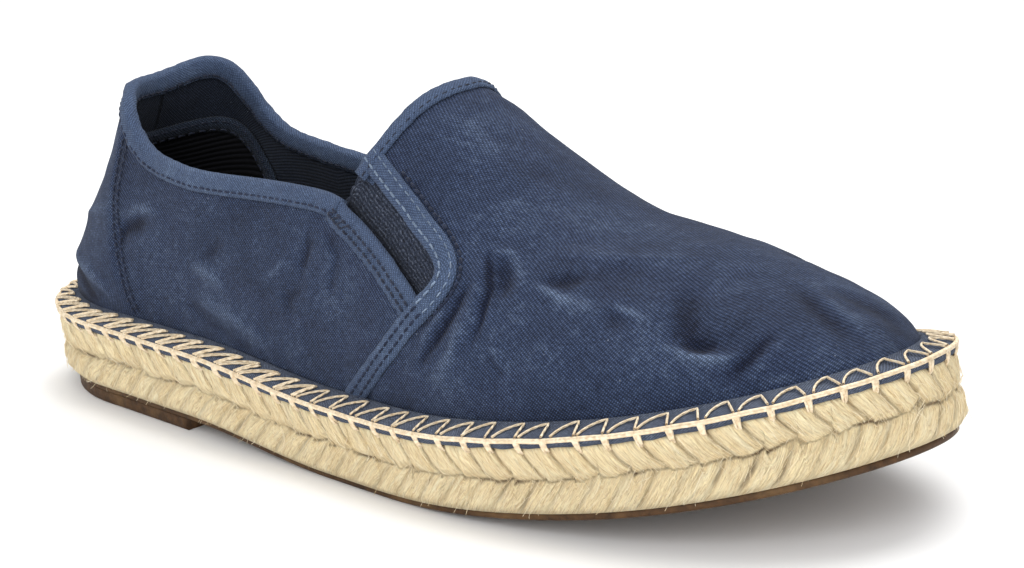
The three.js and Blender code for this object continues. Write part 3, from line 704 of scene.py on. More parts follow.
def canvas(name, dark, middle, pale, period=0.72, worn=1.0, weave_depth=0.00022, contrast=1.0):
    """Washed cotton canvas: a twill of fine threads, pale on ridges from wear and painted highlight, and
    dark in folds from painted shade.
    """
    material, tree, shader = new_material(name, 0.92, 0.05)
    shader.inputs["Specular IOR Level"].default_value = 0.15
    place = cloth_place(tree)
    leaning = scaled(tree, place, (1, 1, 1), 0.85)
    warp = bands(tree, leaning, period, 0.5, "X")
    weft = bands(tree, leaning, period * 0.8, 0.5, "Y")
    weave = math_node(tree, "ADD", math_node(tree, "MULTIPLY", warp, weft),
                      math_node(tree, "MULTIPLY", warp, 0.12))
    cloud = noise_node(tree, place, 0.028, 4.0, 0.6)
    patch = noise_node(tree, place, 0.13, 4.0, 0.65, 0.6)
    mottle = noise_node(tree, place, 0.55, 3.0, 0.7)
    fleck = noise_node(tree, place, 1.5, 3.0, 0.85)
    lint = noise_node(tree, place, 0.9, 1.0, 0.5)
    # The tone is painted shade in crease troughs and dents and painted highlight with wear on ridges; on the
    # foxing it is painted highlight on the puffs and painted shade between them.
    tone = tone_of(tree)
    soft_part = math_node(tree, "ADD", ranged(tree, cloud, 0.35, 0.7, -0.35, 0.3),
                          ranged(tree, patch, 0.32, 0.72, -0.2, 0.2))
    worn_part = math_node(tree, "ADD", soft_part, ranged(tree, mottle, 0.3, 0.7, -0.32, 0.32))
    level = math_node(tree, "MULTIPLY_ADD", worn_part, worn, tone)
    color = mix(tree, ranged(tree, level, -1.0, 0.0), dark, middle)
    color = mix(tree, ranged(tree, level, 0.0, 1.0), color, pale)
    grain = math_node(tree, "MULTIPLY",
                      ranged(tree, weave, 0.1, 0.95, 1 - 0.5 * contrast, 1 + 0.95 * contrast),
                      ranged(tree, fleck, 0.32, 0.68, 1 - 0.5 * contrast, 1 + 0.7 * contrast))
    grey = node(tree, "CombineColor", {0: grain, 1: grain, 2: grain}).outputs[0]
    color = mix(tree, 1.0, color, grey, "MULTIPLY")
    color = mix(tree, ranged(tree, lint, 0.79, 0.84, 0.0, 0.55), color, (0.36, 0.4, 0.47))
    paint(tree, shader, color)
    soft = bump(tree, shader, patch, 0.0012, 0.4)
    bump(tree, shader, weave, weave_depth, 1.0, soft)
    return material


def thread_material(name, low, high, period=0.9):
    material, tree, shader = new_material(name, 0.8, 0.1)
    place = cloth_place(tree)
    twist = bands(tree, scaled(tree, place, (1, 0.35, 1)), period, 0.2, "DIAGONAL")
    fleck = noise_node(tree, object_place(tree), 900.0, 2.0)
    color = mix(tree, ranged(tree, fleck, 0.3, 0.7), low, high)
    paint(tree, shader, color)
    bump(tree, shader, twist, 0.00025)
    return material


def jute_material():
    """Jute strands: long fibres, straw coloured, with painted shade making them darker and browner in the
    grooves.
    """
    material, tree, shader = new_material("jute", 0.8, 0.1)
    place = cloth_place(tree)
    fibre = noise_node(tree, scaled(tree, place, (3.6, 0.18, 1)), 1.0, 5.0, 0.75, 0.6)
    hair = noise_node(tree, scaled(tree, place, (5.5, 0.3, 1)), 1.0, 3.0, 0.7, 1.0)
    streak = noise_node(tree, scaled(tree, place, (0.9, 0.08, 1)), 1.0, 3.0, 0.6, 0.8)
    patch = noise_node(tree, place, 0.09, 3.0, 0.6)
    tone = tone_of(tree)
    color = mix(tree, ranged(tree, fibre, 0.27, 0.55), (0.57, 0.355, 0.145), (1.0, 0.845, 0.52))
    color = mix(tree, ranged(tree, streak, 0.45, 0.72, 0.0, 0.75), color, (1.0, 0.91, 0.64))
    color = mix(tree, ranged(tree, patch, 0.5, 0.8, 0.0, 0.4), color, (0.8, 0.6, 0.33))
    color = mix(tree, ranged(tree, hair, 0.54, 0.68, 0.0, 0.65), color, (0.4, 0.235, 0.085))
    # Painted shade from the tone: the grooves between strands, the seam between the two rows, and the top
    # and bottom rims.
    color = mix(tree, ranged(tree, tone, 0.0, 1.0, 0.0, 0.92), color, (0.13, 0.065, 0.025))
    paint(tree, shader, color)
    coarse = bump(tree, shader, streak, 0.001, 0.7)
    bump(tree, shader, fibre, 0.0009, 1.0, coarse)
    return material


def fibre_material():
    material, tree, shader = new_material("jute_fibre", 0.7, 0.1)
    random = node(tree, "NewGeometry").outputs["Random Per Island"]
    color = mix(tree, random, (0.72, 0.54, 0.28), (1.0, 0.9, 0.68))
    paint(tree, shader, color)
    return material


def rubber_material():
    material, tree, shader = new_material("brown_rubber", 0.6)
    place = object_place(tree)
    grit = noise_node(tree, place, 420.0, 4.0, 0.7)
    dust = noise_node(tree, place, 60.0, 4.0, 0.6)
    color = mix(tree, ranged(tree, grit, 0.3, 0.7), (0.03, 0.014, 0.005), (0.095, 0.046, 0.017))
    color = mix(tree, ranged(tree, dust, 0.5, 0.8, 0.0, 0.5), color, (0.27, 0.16, 0.065))
    paint(tree, shader, color)
    bump(tree, shader, grit, 0.0004)
    return material


def elastic_material():
    """Elastic webbing covered in looped dark yarn."""
    material, tree, shader = new_material("elastic", 0.95, 0.05)
    shader.inputs["Specular IOR Level"].default_value = 0.1
    place = cloth_place(tree)
    rib = bands(tree, place, 1.0, 2.5, "X")
    loop = noise_node(tree, scaled(tree, place, (1.7, 1.7, 1)), 1.0, 4.0, 0.8, 1.2)
    height = math_node(tree, "MULTIPLY_ADD", rib, 0.12, loop)
    color = mix(tree, ranged(tree, height, 0.43, 0.68), (0.003, 0.005, 0.012), (0.06, 0.082, 0.145))
    color = mix(tree, ranged(tree, height, 0.64, 0.72), color, (0.24, 0.28, 0.37))
    # Painted shade near the quarter's edge, from the tone, darkens the elastic towards black.
    tone = tone_of(tree)
    color = mix(tree, ranged(tree, tone, 0.0, 1.0), color, (0.002, 0.003, 0.006))
    paint(tree, shader, color)
    bump(tree, shader, height, 0.0013)
    return material


def ribbed_material(name, dark, light, period=1.3):
    material, tree, shader = new_material(name, 0.95)
    place = cloth_place(tree)
    rib = bands(tree, place, period, 0.3, "Y")
    fleck = noise_node(tree, place, 1.3, 3.0, 0.7)
    color = mix(tree, math_node(tree, "MULTIPLY", rib, fleck), dark, light)
    paint(tree, shader, color)
    bump(tree, shader, rib, 0.0005)
    return material


NAVY_DARK, NAVY, NAVY_PALE = (0.007, 0.011, 0.028), (0.026, 0.04, 0.082), (0.082, 0.114, 0.185)
canvas_mat = canvas("canvas", NAVY_DARK, NAVY, NAVY_PALE)
LINING_DARK, LINING, LINING_PALE = (0.003, 0.005, 0.011), (0.01, 0.015, 0.027), (0.024, 0.034, 0.054)
TAPE_DARK, TAPE_BLUE, TAPE_PALE = (0.028, 0.044, 0.09), (0.058, 0.086, 0.152), (0.12, 0.17, 0.26)
FOXING_DARK, FOXING_BLUE, FOXING_PALE = (0.016, 0.022, 0.04), (0.064, 0.079, 0.118), (0.125, 0.15, 0.205)
lining_mat = canvas("lining", LINING_DARK, LINING, LINING_PALE, worn=0.7)
tape_mat = canvas("tape", TAPE_DARK, TAPE_BLUE, TAPE_PALE, 0.62, 0.8, 0.0002, 0.7)
foxing_mat = canvas("foxing_cloth", FOXING_DARK, FOXING_BLUE, FOXING_PALE, 0.6, 0.7)
dark_thread = thread_material("dark_thread", (0.005, 0.009, 0.026), (0.02, 0.03, 0.065))
pale_thread = thread_material("pale_thread", (0.12, 0.17, 0.26), (0.24, 0.31, 0.42))
tan_thread = thread_material("tan_thread", (0.66, 0.5, 0.31), (0.93, 0.8, 0.6), 1.1)
jute_mat = jute_material()
fibre_mat = fibre_material()
rubber_mat = rubber_material()
elastic_mat = elastic_material()
footbed_mat = ribbed_material("footbed", (0.002, 0.002, 0.004), (0.014, 0.017, 0.027))
patch_mat = ribbed_material("lining_rib", (0.001, 0.001, 0.002), (0.009, 0.01, 0.015), 1.7)


# Round the sole, a distance runs from the heel along the lateral side, round the toe and back
OUTLINE_FINE = 4000
_loop_turns = np.linspace(0, -2, OUTLINE_FINE + 1)
_loop_points = sole_point(_loop_turns, 0.0, 0.0)
_loop_lengths = lengths_along(_loop_points)
PERIMETER = _loop_lengths[-1]


def loop_turn(distance):
    """The turn at a distance round the sole, from 0 at the heel to -1 at the toe and on to -2."""
    return np.interp(np.mod(distance, PERIMETER), _loop_lengths, _loop_turns)


def ring_points(distance, inset, height):
    """Points round the sole. The outline is offset outward where inset is negative."""
    return sole_point(loop_turn(distance), inset, height)


STITCHES = 82
STITCH_PITCH = PERIMETER / STITCHES
STRANDS = 82
STRAND_PITCH = PERIMETER / STRANDS
MIDDLE = 0.46
# How far the strands lean over their height, in the upper and the lower row
UPPER_LEAN, LOWER_LEAN = 6.4, 7.5
UPPER_RELIEF, LOWER_RELIEF = 1.35, 0.95


def braid(distance, share):
    """Rise of the strands at a share of the sole's height, how deep in a groove as painted shade, and fibre
    place.
    """
    wobble = wander(distance, 21.0, 3.3, 0.2)
    jitter = wander(distance, 9.0, 8.1, 4.2)
    strength = wander(distance, 14.0, 1.1, share * 2.0)
    saw = np.mod((distance - 6.0) / STRAND_PITCH + 0.5 * jitter, 1)
    middle = MIDDLE + 0.05 * wobble + 0.1 * saw * (0.5 + jitter) - 0.02
    upper = share > middle
    climb = np.where(upper, (share - middle) / (1 - middle), (middle - share) / middle)
    lean = np.where(upper, UPPER_LEAN * (1 - climb) ** 1.5, LOWER_LEAN * (1 - climb) + 3.0 * jitter)
    shift = np.where(upper, 0.7 * jitter * (1 - climb), 0.45 * STRAND_PITCH + 2.2 * jitter)
    phase = (distance - lean + shift) / STRAND_PITCH
    bulge = np.abs(np.sin(np.pi * phase)) ** np.where(upper, 0.42, 0.6)
    dive = smooth(climb, 0.0, 0.2)
    height = np.where(upper, UPPER_RELIEF, LOWER_RELIEF + 0.5 * strength)
    rise = height * bulge * (0.5 + 0.5 * dive) - (0.45 + 0.4 * strength) * (1 - dive)
    depth = np.where(upper, 0.4 + 0.6 * climb**2, 0.2 + 0.7 * np.clip(strength, 0, 1))
    # Painted shade along the seam between the upper and the lower row.
    seam = (1 - smooth(climb, 0.0, 0.07)) * np.clip(0.35 + 2.0 * strength, 0.0, 1)
    groove = (1 - smooth(bulge, 0.25, 0.7)) * depth * 1.15 + 1.1 * seam
    across = phase * STRAND_PITCH * 0.8
    run = np.where(upper, 40.0, 0.0) + climb * 11.0
    return rise, np.clip(groove, 0, 1), across, run


def jute_sole():
    """The plait: rings of points round the sole, raised by the strands, closed below and above."""
    parts = Parts()
    count, rings = 21 * STRANDS, 37
    distance = np.linspace(0, PERIMETER, count, endpoint=False)
    belly = spline([(0, 1.3), (0.08, 0.7), (0.22, 0.4), (0.46, 0.75), (0.75, 0.35), (0.92, 0.7), (1, 1.8)])
    points, tones, uvs = [], [], []
    for share in np.linspace(0, 1, rings):
        rise, groove, across, run = braid(distance, share)
        lump = wander(distance, 3.0, share * 6, 1.1)
        edge = smooth(share, 0.0, 0.1) * (1 - 0.5 * smooth(share, 0.93, 1.0))
        inset = belly(share) + 1.2 - edge * (rise + 0.22 * lump)
        points.append(ring_points(distance, inset, share * JUTE_HEIGHT))
        # Painted shade: the grooves, and the rims under the foxing and above the rubber.
        tones.append(groove * edge + 0.25 * (1 - edge))
        uvs.append(np.stack([across, run], 1))
    faces = grid_faces(rings, count, close_columns=True).tolist()
    half = count // 2
    for base in (0, (rings - 1) * count):
        for k in range(half):
            a, b = base + k, base + k + 1
            c, d = base + (count - k) % count, base + (count - k - 1) % count
            faces.append(list(dict.fromkeys([a, b, d, c] if base else [a, c, d, b])))
    faces = [corners for corners in faces if len(corners) > 2]
    parts.add(np.concatenate(points), faces, np.concatenate(uvs), np.concatenate(tones))
    parts.piece("jute_braid", jute_mat, "jute", ["jute_sole"])


FIBRES, FIBRE_RADIUS = 3600, 0.05


def jute_fibres():
    """Loose fibres that follow the strands and lift off them."""
    parts = Parts()
    random = np.random.default_rng(7)
    for _ in range(FIBRES):
        start = random.uniform(0, PERIMETER)
        share = random.uniform(0.03, 0.9)
        upper = share > MIDDLE
        length = random.uniform(1.8, 6.0)
        slope = (-1 if upper else 1) * random.uniform(0.7, 2.4) + random.normal(0, 0.25)
        heading = random.choice([-1, 1])
        steps = np.linspace(0, length, 6)
        bow = random.normal(0, 0.35) * (steps / length) * (1 - steps / length) * 4
        distance = start + heading * steps * math.cos(math.atan(slope)) + bow
        climb = share + heading * steps * math.sin(math.atan(slope)) / JUTE_HEIGHT
        if climb.min() < random.uniform(-0.06, 0.03) or climb.max() > 0.92:
            continue
        lift = random.uniform(-0.1, 0.15) + random.uniform(0.0, 0.9) ** 2 * (steps / length) ** 2.5
        rise = np.array([braid(np.array([d]), c)[0][0] for d, c in zip(distance, climb)])
        inset = 1.55 - rise - lift
        radius = FIBRE_RADIUS * random.uniform(0.6, 1.3)
        tube(parts, ring_points(distance, inset, climb * JUTE_HEIGHT), radius, 3)
    parts.piece("jute_fibres", fibre_mat, "jute")


def foxing():
    """The strip over the sole's edge. It puffs up halfway between two stitches."""
    parts = Parts()
    count = 12 * STITCHES
    distance = np.linspace(0, PERIMETER, count, endpoint=False)
    puff = np.abs(np.sin(np.pi * distance / STITCH_PITCH)) ** 0.7
    lump = wander(distance, 5.0, 2.2, 9.1)
    drop = JUTE_HEIGHT - 1.75 + 0.4 * lump
    profile = [
        (0.9, drop), (0.0 - 0.2 * puff, drop + 0.1), (-0.1 - 0.3 * puff, JUTE_HEIGHT - 0.9),
        (-0.1 - 0.2 * puff, JUTE_HEIGHT + 0.2), (0.2, JUTE_HEIGHT + 0.7 + 0.2 * puff),
        (1.6, JUTE_HEIGHT + 0.9 + 0.4 * puff), (3.2, JUTE_HEIGHT + 1.2 + 0.5 * puff),
        (4.7, JUTE_HEIGHT + 1.6 + 0.4 * puff + 0.2 * lump), (5.7, JUTE_HEIGHT + 2.2 + 0.2 * puff),
        (6.4, JUTE_HEIGHT + 3.0), (7.4, JUTE_HEIGHT + 2.6), (7.6, JUTE_HEIGHT + 0.5),
        (0.9, JUTE_HEIGHT + 0.1),
    ]
    rows = [ring_points(distance, np.broadcast_to(i, count), np.broadcast_to(h, count)) for i, h in profile]
    uv = np.stack([np.tile(distance, len(rows)), np.repeat(np.arange(len(rows)) * 1.4, count)], 1)
    # Painted highlight on the puffs and painted shade in the dips between them.
    tone = np.tile(0.4 * puff - 0.05, len(rows))
    faces = grid_faces(len(rows), count, close_rows=True, close_columns=True)
    parts.add(np.concatenate(rows), faces, uv, tone)
    parts.piece("foxing_strip", foxing_mat, "canvas", ["foxing"])


CORD_INSET, CORD_RADIUS, THREAD_RADIUS, TIE_RADIUS = -0.45, 0.62, 0.31, 0.44
DOUBLE_LOOPS_END, TWIN_GAP, TIE_STRANDS = 0.45, 0.85, 4
FOXING_INSETS, FOXING_TOPS = (-1.0, 0.2, 1.6, 3.2, 4.7, 5.7), (0.6, 1.0, 1.45, 1.85, 2.2, 2.6)


def overcast_loop(parts, start, at, reach, hook, rounded):
    """A loop of thread: it slants up over the foxing from the last stitch, and drops back to the cord."""
    up, down = np.linspace(0, 1, 9), np.linspace(0, 1, 7)[1:]
    peak = at + hook
    fall = np.cos(down * np.pi / 2) if rounded else 1 - down
    distance = np.concatenate([start + (peak - start) * up, peak - hook * down])
    inset = np.concatenate([np.sin(up * np.pi / 2) ** 0.9, fall]) * (reach - CORD_INSET) + CORD_INSET
    height = JUTE_HEIGHT + np.interp(inset, FOXING_INSETS, FOXING_TOPS) + THREAD_RADIUS
    tube(parts, ring_points(distance, inset, height), THREAD_RADIUS, 6)


def overcast():
    """The tan thread: a cord along the edge, slanting loops over the foxing, and a tie down to the
    braid at each stitch. The loops are double in the heel half."""
    parts = Parts()
    random = np.random.default_rng(3)
    fine = np.linspace(0, PERIMETER, 1640)
    sway = wander(fine, 7.0, 4.4, 0.7)
    points = ring_points(fine, CORD_INSET - 0.12 * sway, JUTE_HEIGHT + 0.15 + 0.2 * sway)
    tube(parts, points, CORD_RADIUS, 8)
    for k in range(STITCHES):
        at = k * STITCH_PITCH + random.normal(0, 0.3)
        along = along_at(float(loop_turn(at)), 0.0) / SOLE_LENGTH
        double = along < DOUBLE_LOOPS_END
        for twin in (0.0, TWIN_GAP) if double else (0.0,):
            reach = random.uniform(4.6, 5.4) if double else random.uniform(4.8, 5.6)
            start = at - STITCH_PITCH * (0.85 if double else random.uniform(0.78, 0.95))
            hook = random.uniform(2.8, 3.8) if double else random.uniform(0.7, 1.4)
            overcast_loop(parts, start + twin, at + twin - 0.2, reach - 0.3 * twin, hook, double)
        s = np.linspace(0, 1, 7)
        spread = 0.85 if double else 0.6
        for twin in np.linspace(-spread, spread, TIE_STRANDS):
            down = at + twin * (1 - 0.35 * s) + 0.7 * s**2
            inset = CORD_INSET - 0.15 + 1.9 * s**2.4
            height = JUTE_HEIGHT + 0.45 - random.uniform(3.2, 4.2) * s
            tube(parts, ring_points(down, inset, height), TIE_RADIUS * (1 - 0.3 * s), 5)
    parts.piece("overcast_thread", tan_thread, "canvas")


def inside_polygon(x, y, polygon):
    inside = np.zeros(x.shape, bool)
    px, py = polygon[:, 0], polygon[:, 1]
    for i in range(len(polygon)):
        j = i - 1
        crosses = (py[i] > y) != (py[j] > y)
        reach = (px[j] - px[i]) * (y - py[i]) / (py[j] - py[i] + 1e-12) + px[i]
        inside ^= crosses & (x < reach)
    return inside


def top_girth(turn):
    """Girth share of the upper's top edge: the collar, then the throat."""
    reach = np.abs(turn)
    corner = turn_at(COLLAR_END, 1)
    throat_turn, throat_girth = line_places(THROAT_LINE, 1, 1.0)
    marks = np.concatenate([[corner], throat_turn])
    girths = np.concatenate([[COLLAR_ROWS[-1][1]], throat_girth])
    along = along_at(reach, UPPER_INSET) / SOLE_LENGTH
    return np.where(reach <= corner, collar_girth(along, turn), np.interp(reach, marks, girths, right=1.0))


GORE_CUT_BACK, GORE_THICKNESS = 1.6, 1.2
GORE_UNDER_QUARTER, GORE_UNDER_VAMP = 0.24, 0.04


def gore_polygon():
    """The opening's outline, cut back so that its edge lies under the tapes."""
    front = beside(*line_places(VAMP_LINE, 1, 1.0), -GORE_CUT_BACK)
    back = beside(*line_places(QUARTER_LINE, 1, 1.0), GORE_CUT_BACK)
    turn = np.concatenate([front[0], back[0][::-1]])
    girth = np.concatenate([front[1], back[1][::-1]])
    return np.stack([along_at(turn, UPPER_INSET), girth * USUAL_GIRTH], 1)


def even_half_turns(count):
    """Turns from heel to toe whose sections stand evenly round the upper, closer by the gore's folds."""
    fine = np.linspace(0, 1, 1500)
    low_girth = np.full(len(fine), 0.12)
    steps = sum(np.diff(lengths_along(face(side * fine, low_girth))) for side in (-1, 1))
    along = along_at(fine[1:], UPPER_INSET) / SOLE_LENGTH
    bend = smooth(along, 0.56, 0.62) * (1 - smooth(along, 0.7, 0.76))
    marks = np.concatenate([[0], np.cumsum(steps * (1 + 0.9 * bend))])
    return np.interp(np.linspace(0, marks[-1], count), marks, fine)


PLEAT_PITCH, PLEAT_DEPTH = 8.4, 0.25


def upper():
    """The canvas, one sheet from foot to foot over the top line, thickened inward to its wall."""
    parts = Parts()
    columns, rows = 252, 90
    half = even_half_turns(columns)
    turns = np.concatenate([-half[:0:-1], half])
    reach = top_girth(turns)
    share = np.linspace(0, 1, rows + 1)
    turn = np.repeat(turns[:, None], rows + 1, 1)
    girth = reach[:, None] * share[None, :]
    on_top = girth >= 1
    turn = np.where(on_top, -np.abs(turn), turn)
    points = skin(turn, girth, np.zeros_like(girth))
    foot = np.exp(-girth * USUAL_GIRTH / 6.0)
    pleat = np.sin(2 * np.pi * along_at(turn, UPPER_INSET) / PLEAT_PITCH)
    _, _, out = face_frame(turn, girth)
    points = points + out * (PLEAT_DEPTH * foot * pleat)[..., None]
    _, tone = relief(turn, girth)
    run = lengths_along(face(turns, np.full(len(turns), 0.4)))
    run = np.abs(run - run[columns - 1])
    u = np.repeat((run + run[::-1])[:, None] / -2, rows + 1, 1)
    v = lengths_along(points, 1)
    full = section_lengths(turns)[:, -1]
    v = np.where(turns[:, None] > 0, (full + full[::-1])[:, None] - v, v)
    faces = grid_faces(len(turns), rows + 1)
    a = along_at(turn, UPPER_INSET).ravel()[faces].mean(1)
    b = (girth * USUAL_GIRTH).ravel()[faces].mean(1)
    faces = faces[~inside_polygon(a, b, gore_polygon())]
    parts.add(points, faces, np.stack([u, v], -1), tone)
    piece = parts.piece("canvas_upper", [canvas_mat, lining_mat], "canvas", ["upper"], 0.02, False)
    thicken(piece, WALL).material_offset = 1


def heel_counter():
    """The panel round the heel, between its two seams and under the collar's tape."""
    parts = Parts()
    seam = spline([(g, a) for a, g in COUNTER_LINE])
    share = np.linspace(-1, 1, 110)
    levels = np.linspace(0.012, 1, 70)
    top = collar_girth(np.abs(share) * 0.104, share * 0.2) - 0.035
    girth = top[:, None] * levels[None, :]
    turn = share[:, None] * turn_at(seam(girth), 1)
    edge = np.minimum(1 - np.abs(share), 0.03)[:, None] / 0.03
    points = skin(turn, girth, 0.05 + 0.6 * edge * np.ones_like(girth))
    _, tone = relief(turn, girth)
    parts.add(points, grid_faces(*turn.shape), cloth_uv(points), tone + 0.1)
    parts.piece("heel_panel", canvas_mat, "canvas", ["heel_counter"], closed=False)


def gore(side):
    """Elastic under both edges of the opening, a little slack, with a ruffled top edge."""
    parts = Parts()
    name = "lateral" if side < 0 else "medial"
    n = 90
    front = line_places([GORE_FRONT_START] + VAMP_LINE[2:], side, 0.25)
    back = line_places([GORE_BACK_START] + QUARTER_LINE[1:], side, 0.25)
    lines = []
    for turn, girth in (front, back):
        pick = np.linspace(0, len(turn) - 1, n)
        order = np.arange(len(turn))
        lines.append((np.interp(pick, order, turn), np.interp(pick, order, girth)))
    spread = np.linspace(-GORE_UNDER_QUARTER, 1 + GORE_UNDER_VAMP, 46)[None, :]
    turn = lines[1][0][:, None] * (1 - spread) + lines[0][0][:, None] * spread
    girth = lines[1][1][:, None] * (1 - spread) + lines[0][1][:, None] * spread
    down = np.linspace(0, 1, n)[:, None]
    ruffle = np.sin(spread * 23) * np.exp(-down * 30) * 0.6
    depth = -WALL - 1.5 - 0.9 * (1 - spread) - 1.2 * np.exp(-down * 9) + ruffle
    points = skin(turn, girth, depth)
    shade = 0.7 * np.exp(-np.clip(spread, 0, 1) * 3.5) * np.ones_like(down)
    parts.add(points, grid_faces(*turn.shape), cloth_uv(points)[..., ::-1], shade)
    piece = parts.piece("gore_cloth_" + name, elastic_mat, "elastic", ["gore_" + name], closed=False)
    thicken(piece, GORE_THICKNESS)


def bindings():
    """The tapes on every edge, and all rows of stitches."""
    dark, pale = Parts(), Parts()
    collar = collar_places(TAPE_STEP)
    parts = Parts()
    strip(parts, *collar, folded_outline(COLLAR_TAPE_WIDTH, -1), 0.4, TAPE_PUCKER)
    parts.piece("collar_tape", tape_mat, "tape", ["collar_binding"])
    stitch_row(dark, *collar, COLLAR_TAPE_WIDTH - 1.1, 1.05, 2.4)
    stitch_row(dark, *collar, 3.6, -WALL - 1.15)

    throat = throat_places(TAPE_STEP)
    parts = Parts()
    strip(parts, *throat, folded_outline(THROAT_TAPE_WIDTH, 1), 0.35, TAPE_PUCKER)
    parts.piece("throat_tape", tape_mat, "tape", ["throat_binding"])
    stitch_row(dark, *throat, 1.0 - THROAT_TAPE_WIDTH, 1.05, 2.4, 1.5, 0.2)

    for side, name in ((-1, "lateral"), (1, "medial")):
        edge = line_places([VAMP_TAPE_START] + VAMP_LINE[2:], side, TAPE_STEP)
        down = line_places(SEAM_LINE, side, TAPE_STEP)
        parts = Parts()
        turn = np.concatenate([edge[0], down[0][1:]])
        girth = np.concatenate([edge[1], down[1][1:]])
        strip(parts, turn, girth, flat_outline(0, -side * SEAM_TAPE_WIDTH), 0.3, TAPE_PUCKER)
        parts.piece("vamp_edge_" + name, tape_mat, "tape", ["vamp_tape_" + name])
        stitch_row(pale, *edge, -side * 1.2, 1.15, 2.6, 1.8, 0.28)
        stitch_row(pale, *edge, -side * 4.1, 1.08, 2.6, 1.6, 0.2)
        outer = line_places(VAMP_LINE[3:], side, TAPE_STEP)
        # Dotted row beside the vamp tape: dark thread dashes that stand for the shade in the stitch holes.
        stitch_row(dark, *outer, -side * (SEAM_TAPE_WIDTH + 1.0), 0.25, 2.1, 1.3, 0.4)
        for offset in (1.6, 3.9):
            stitch_row(dark, *down, -side * offset, 1.15, 2.4, 1.6, 0.32)

        quarter = line_places(QUARTER_LINE[1:], side, TAPE_STEP)
        parts = Parts()
        outline = flat_outline(0, side * QUARTER_TAPE_WIDTH, 0.8)
        strip(parts, *quarter, outline, 0.35, TAPE_PUCKER, scallop=0.6)
        parts.piece("quarter_edge_" + name, tape_mat, "tape", ["quarter_tape_" + name])
        for offset in (2.2, 4.1):
            stitch_row(dark, *quarter, side * offset, 1.05, 2.3, 1.5, 0.32)
        corner = line_places(QUARTER_LINE[1:3], side, TAPE_STEP)
        stitch_row(dark, *corner, side * 3.1, 1.05, 1.7, 1.9, 0.22, 2.6)
        heel = line_places(COUNTER_LINE, side, TAPE_STEP)
        for offset in (1.3, 3.6):
            stitch_row(dark, *heel, side * offset, 0.6, 2.6, 1.8)
    dark.piece("dark_stitches", dark_thread, "tape")
    pale.piece("pale_stitches", pale_thread, "tape")


LINING_END = 0.26


def heel_lining():
    """The ribbed lining inside the heel, with a taped and stitched upper edge."""
    parts = Parts()
    arch = spline(LINING_LINE)
    end = turn_at(LINING_END, 1)
    turn_line = np.linspace(-end, end, 120)
    top = arch(along_at(turn_line, UPPER_INSET) / SOLE_LENGTH)
    levels = np.linspace(0.05, 1, 30)[None, :]
    turn = np.repeat(turn_line[:, None], levels.size, 1)
    girth = np.maximum(top, 0.02)[:, None] * levels
    points = skin(turn, girth, np.full(turn.shape, -WALL - 0.9))
    uv = np.stack([lengths_along(points), girth * USUAL_GIRTH], -1)
    parts.add(points, grid_faces(*turn.shape), uv)
    parts.piece("heel_lining", patch_mat, "insole", closed=False)
    edge_turn, edge_girth = even_places(turn_line, np.maximum(top, 0.05), 1.5)
    parts = Parts()
    outline = [(-2.3, -WALL - 0.8), (-2.3, -WALL - 1.6), (0, -WALL - 1.9), (2.3, -WALL - 1.6),
               (2.3, -WALL - 0.8), (0, -WALL - 0.7)]
    strip(parts, edge_turn, edge_girth, outline, 0.2, 2.5, 0.75)
    parts.piece("lining_tape", lining_mat, "insole")
    stitches = Parts()
    for offset in (-1.3, 1.3):
        stitch_row(stitches, edge_turn, edge_girth, offset, -WALL - 2.0, 3.0, 1.8, 0.25)
    stitches.piece("lining_stitches", dark_thread, "insole")


def slab(parts, inset, low, high, turns):
    """A flat layer of the sole with a softly rounded edge. The turns run from one side to the other."""
    profile = [(inset + 0.5, low), (inset, low + 0.35), (inset - 0.2, high - 0.3), (inset + 0.1, high)]
    rows = np.concatenate([sole_point(turns, i, h) for i, h in profile])
    n = len(turns)
    faces = grid_faces(len(profile), n, close_columns=True).tolist()
    for base in (0, (len(profile) - 1) * n):
        for k in range(n // 2):
            corners = [base + k, base + k + 1, base + n - 2 - k, base + n - 1 - k]
            faces.append(list(dict.fromkeys(corners if base else corners[::-1])))
    parts.add(rows, [corners for corners in faces if len(corners) > 2])


SHEET_INSET, PAD_INSET, PAD_SHORTER, FOOTBED_INSET = 3.6, 4.2, 4.0, 8.6


def soles():
    """The rubber sheet, the heel pad under it and the dished footbed."""
    parts = Parts()
    marks = np.linspace(0, PERIMETER, 361)[:-1]
    slab(parts, SHEET_INSET, -CLEARANCE - RUBBER, -0.1, loop_turn(marks))
    parts.piece("rubber_sheet", rubber_mat, "rubber", ["outsole"])
    parts = Parts()
    share = (HEEL_PAD_END * SOLE_LENGTH - PAD_SHORTER) / (SOLE_LENGTH - 2 * PAD_SHORTER)
    end = math.acos(1 - 2 * share) / math.pi
    low = -2 * CLEARANCE - RUBBER - HEEL_PAD
    slab(parts, PAD_INSET, low, -CLEARANCE - RUBBER, np.linspace(-end, end, 160))
    parts.piece("rubber_heel", rubber_mat, "rubber", ["heel_pad"])
    parts = Parts()
    x = along_at(np.linspace(0, 1, 120), FOOTBED_INSET)[:, None]
    across = np.linspace(-1, 1, 40)[None, :]
    reach = np.where(across < 0, half_width(x, -1, FOOTBED_INSET), half_width(x, 1, FOOTBED_INSET))
    y = spine(x) + across * reach
    dish = 1.5 * np.abs(across) ** 3
    points = bent(x, 0, y, JUTE_HEIGHT + CLEARANCE + INSOLE + dish)
    parts.add(points, grid_faces(*y.shape), np.stack(np.broadcast_arrays(y, x), -1))
    parts.piece("footbed", footbed_mat, "insole", ["insole"], closed=False)


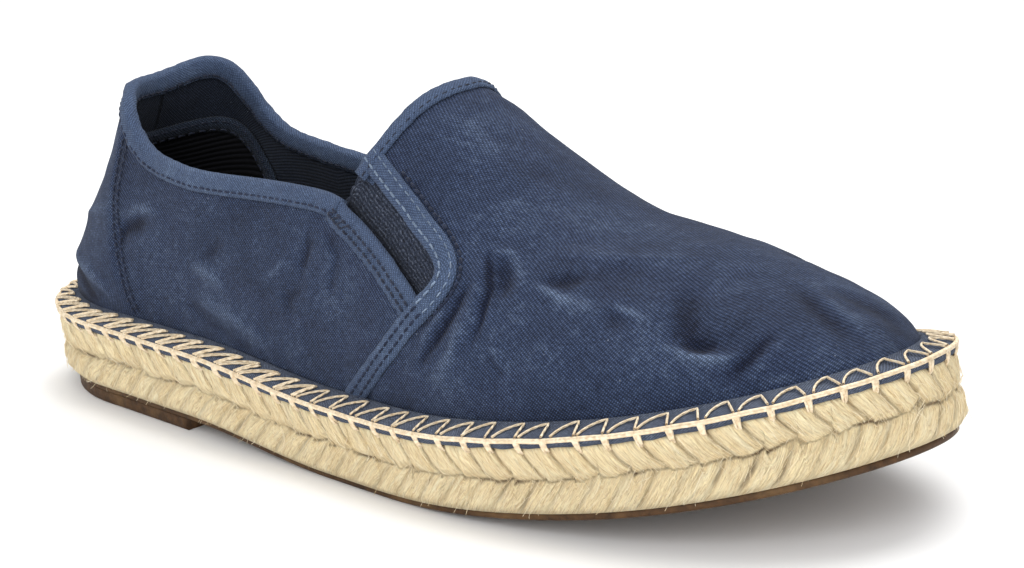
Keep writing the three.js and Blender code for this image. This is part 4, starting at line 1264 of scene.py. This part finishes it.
def photo_camera():
    """The camera at the photo's angle to the shoe."""
    azimuth, elevation, roll = (math.radians(v) for v in (43.2, 15.7, -3.29))
    distance, focal_pixels, picture_width = 0.7179, 2805.6, 1024
    shift = (-61.9, 41.0)
    target = Vector((0.14 - HEEL_TREAD * 0.001, 0, 0.03))
    forward = -Vector((math.sin(azimuth) * math.cos(elevation), -math.cos(azimuth) * math.cos(elevation),
                       math.sin(elevation)))
    right = forward.cross(Vector((0, 0, 1))).normalized()
    up = right.cross(forward)
    across = right * math.cos(roll) + up * math.sin(roll)
    over = -right * math.sin(roll) + up * math.cos(roll)
    data = bpy.data.cameras.new("photo_camera")
    data.sensor_width = 36
    data.lens = 36 * focal_pixels / picture_width
    data.shift_x = -shift[0] / picture_width
    data.shift_y = shift[1] / picture_width
    camera = bpy.data.objects.new("photo_camera", data)
    turn = Matrix((across, over, -forward)).transposed().to_4x4()
    camera.matrix_world = Matrix.Translation(target - forward * distance) @ turn
    bpy.context.scene.collection.objects.link(camera)
    bpy.context.scene.camera = camera


def area_light(name, place, target, size, power, color=(1, 1, 1)):
    data = bpy.data.lights.new(name, "AREA")
    data.size = size
    data.energy = power
    data.color = color
    light = bpy.data.objects.new(name, data)
    aim = Vector(target) - Vector(place)
    light.rotation_euler = aim.to_track_quat("-Z", "Y").to_euler()
    light.location = place
    bpy.context.scene.collection.objects.link(light)


def studio():
    """A plain pale floor under soft light."""
    mesh = bpy.data.meshes.new("floor")
    size = 4.0
    corners = [(-size, -size, 0), (size, -size, 0), (size, size, 0), (-size, size, 0)]
    mesh.from_pydata(corners, [], [(0, 1, 2, 3)])
    floor = bpy.data.objects.new("floor", mesh)
    bpy.context.scene.collection.objects.link(floor)
    material, _, shader = new_material("white_floor", 0.9)
    shader.inputs["Base Color"].default_value = (0.9, 0.9, 0.9, 1)
    mesh.materials.append(material)
    world = bpy.data.worlds.new("studio")
    world.use_nodes = True
    world.node_tree.nodes["Background"].inputs[0].default_value = (1, 1, 1, 1)
    world.node_tree.nodes["Background"].inputs[1].default_value = 0.85
    bpy.context.scene.world = world
    area_light("top", (0.1, 0.35, 1.1), (0.1, 0, 0.03), 0.9, 9.0)
    area_light("front", (0.62, -0.98, 0.6), (0.08, 0, 0.05), 1.0, 8.5)
    bpy.context.scene.view_settings.view_transform = "Standard"


photo_camera()
studio()
upper()
heel_counter()
gore(-1)
gore(1)
bindings()
heel_lining()
jute_sole()
jute_fibres()
foxing()
overcast()
soles()
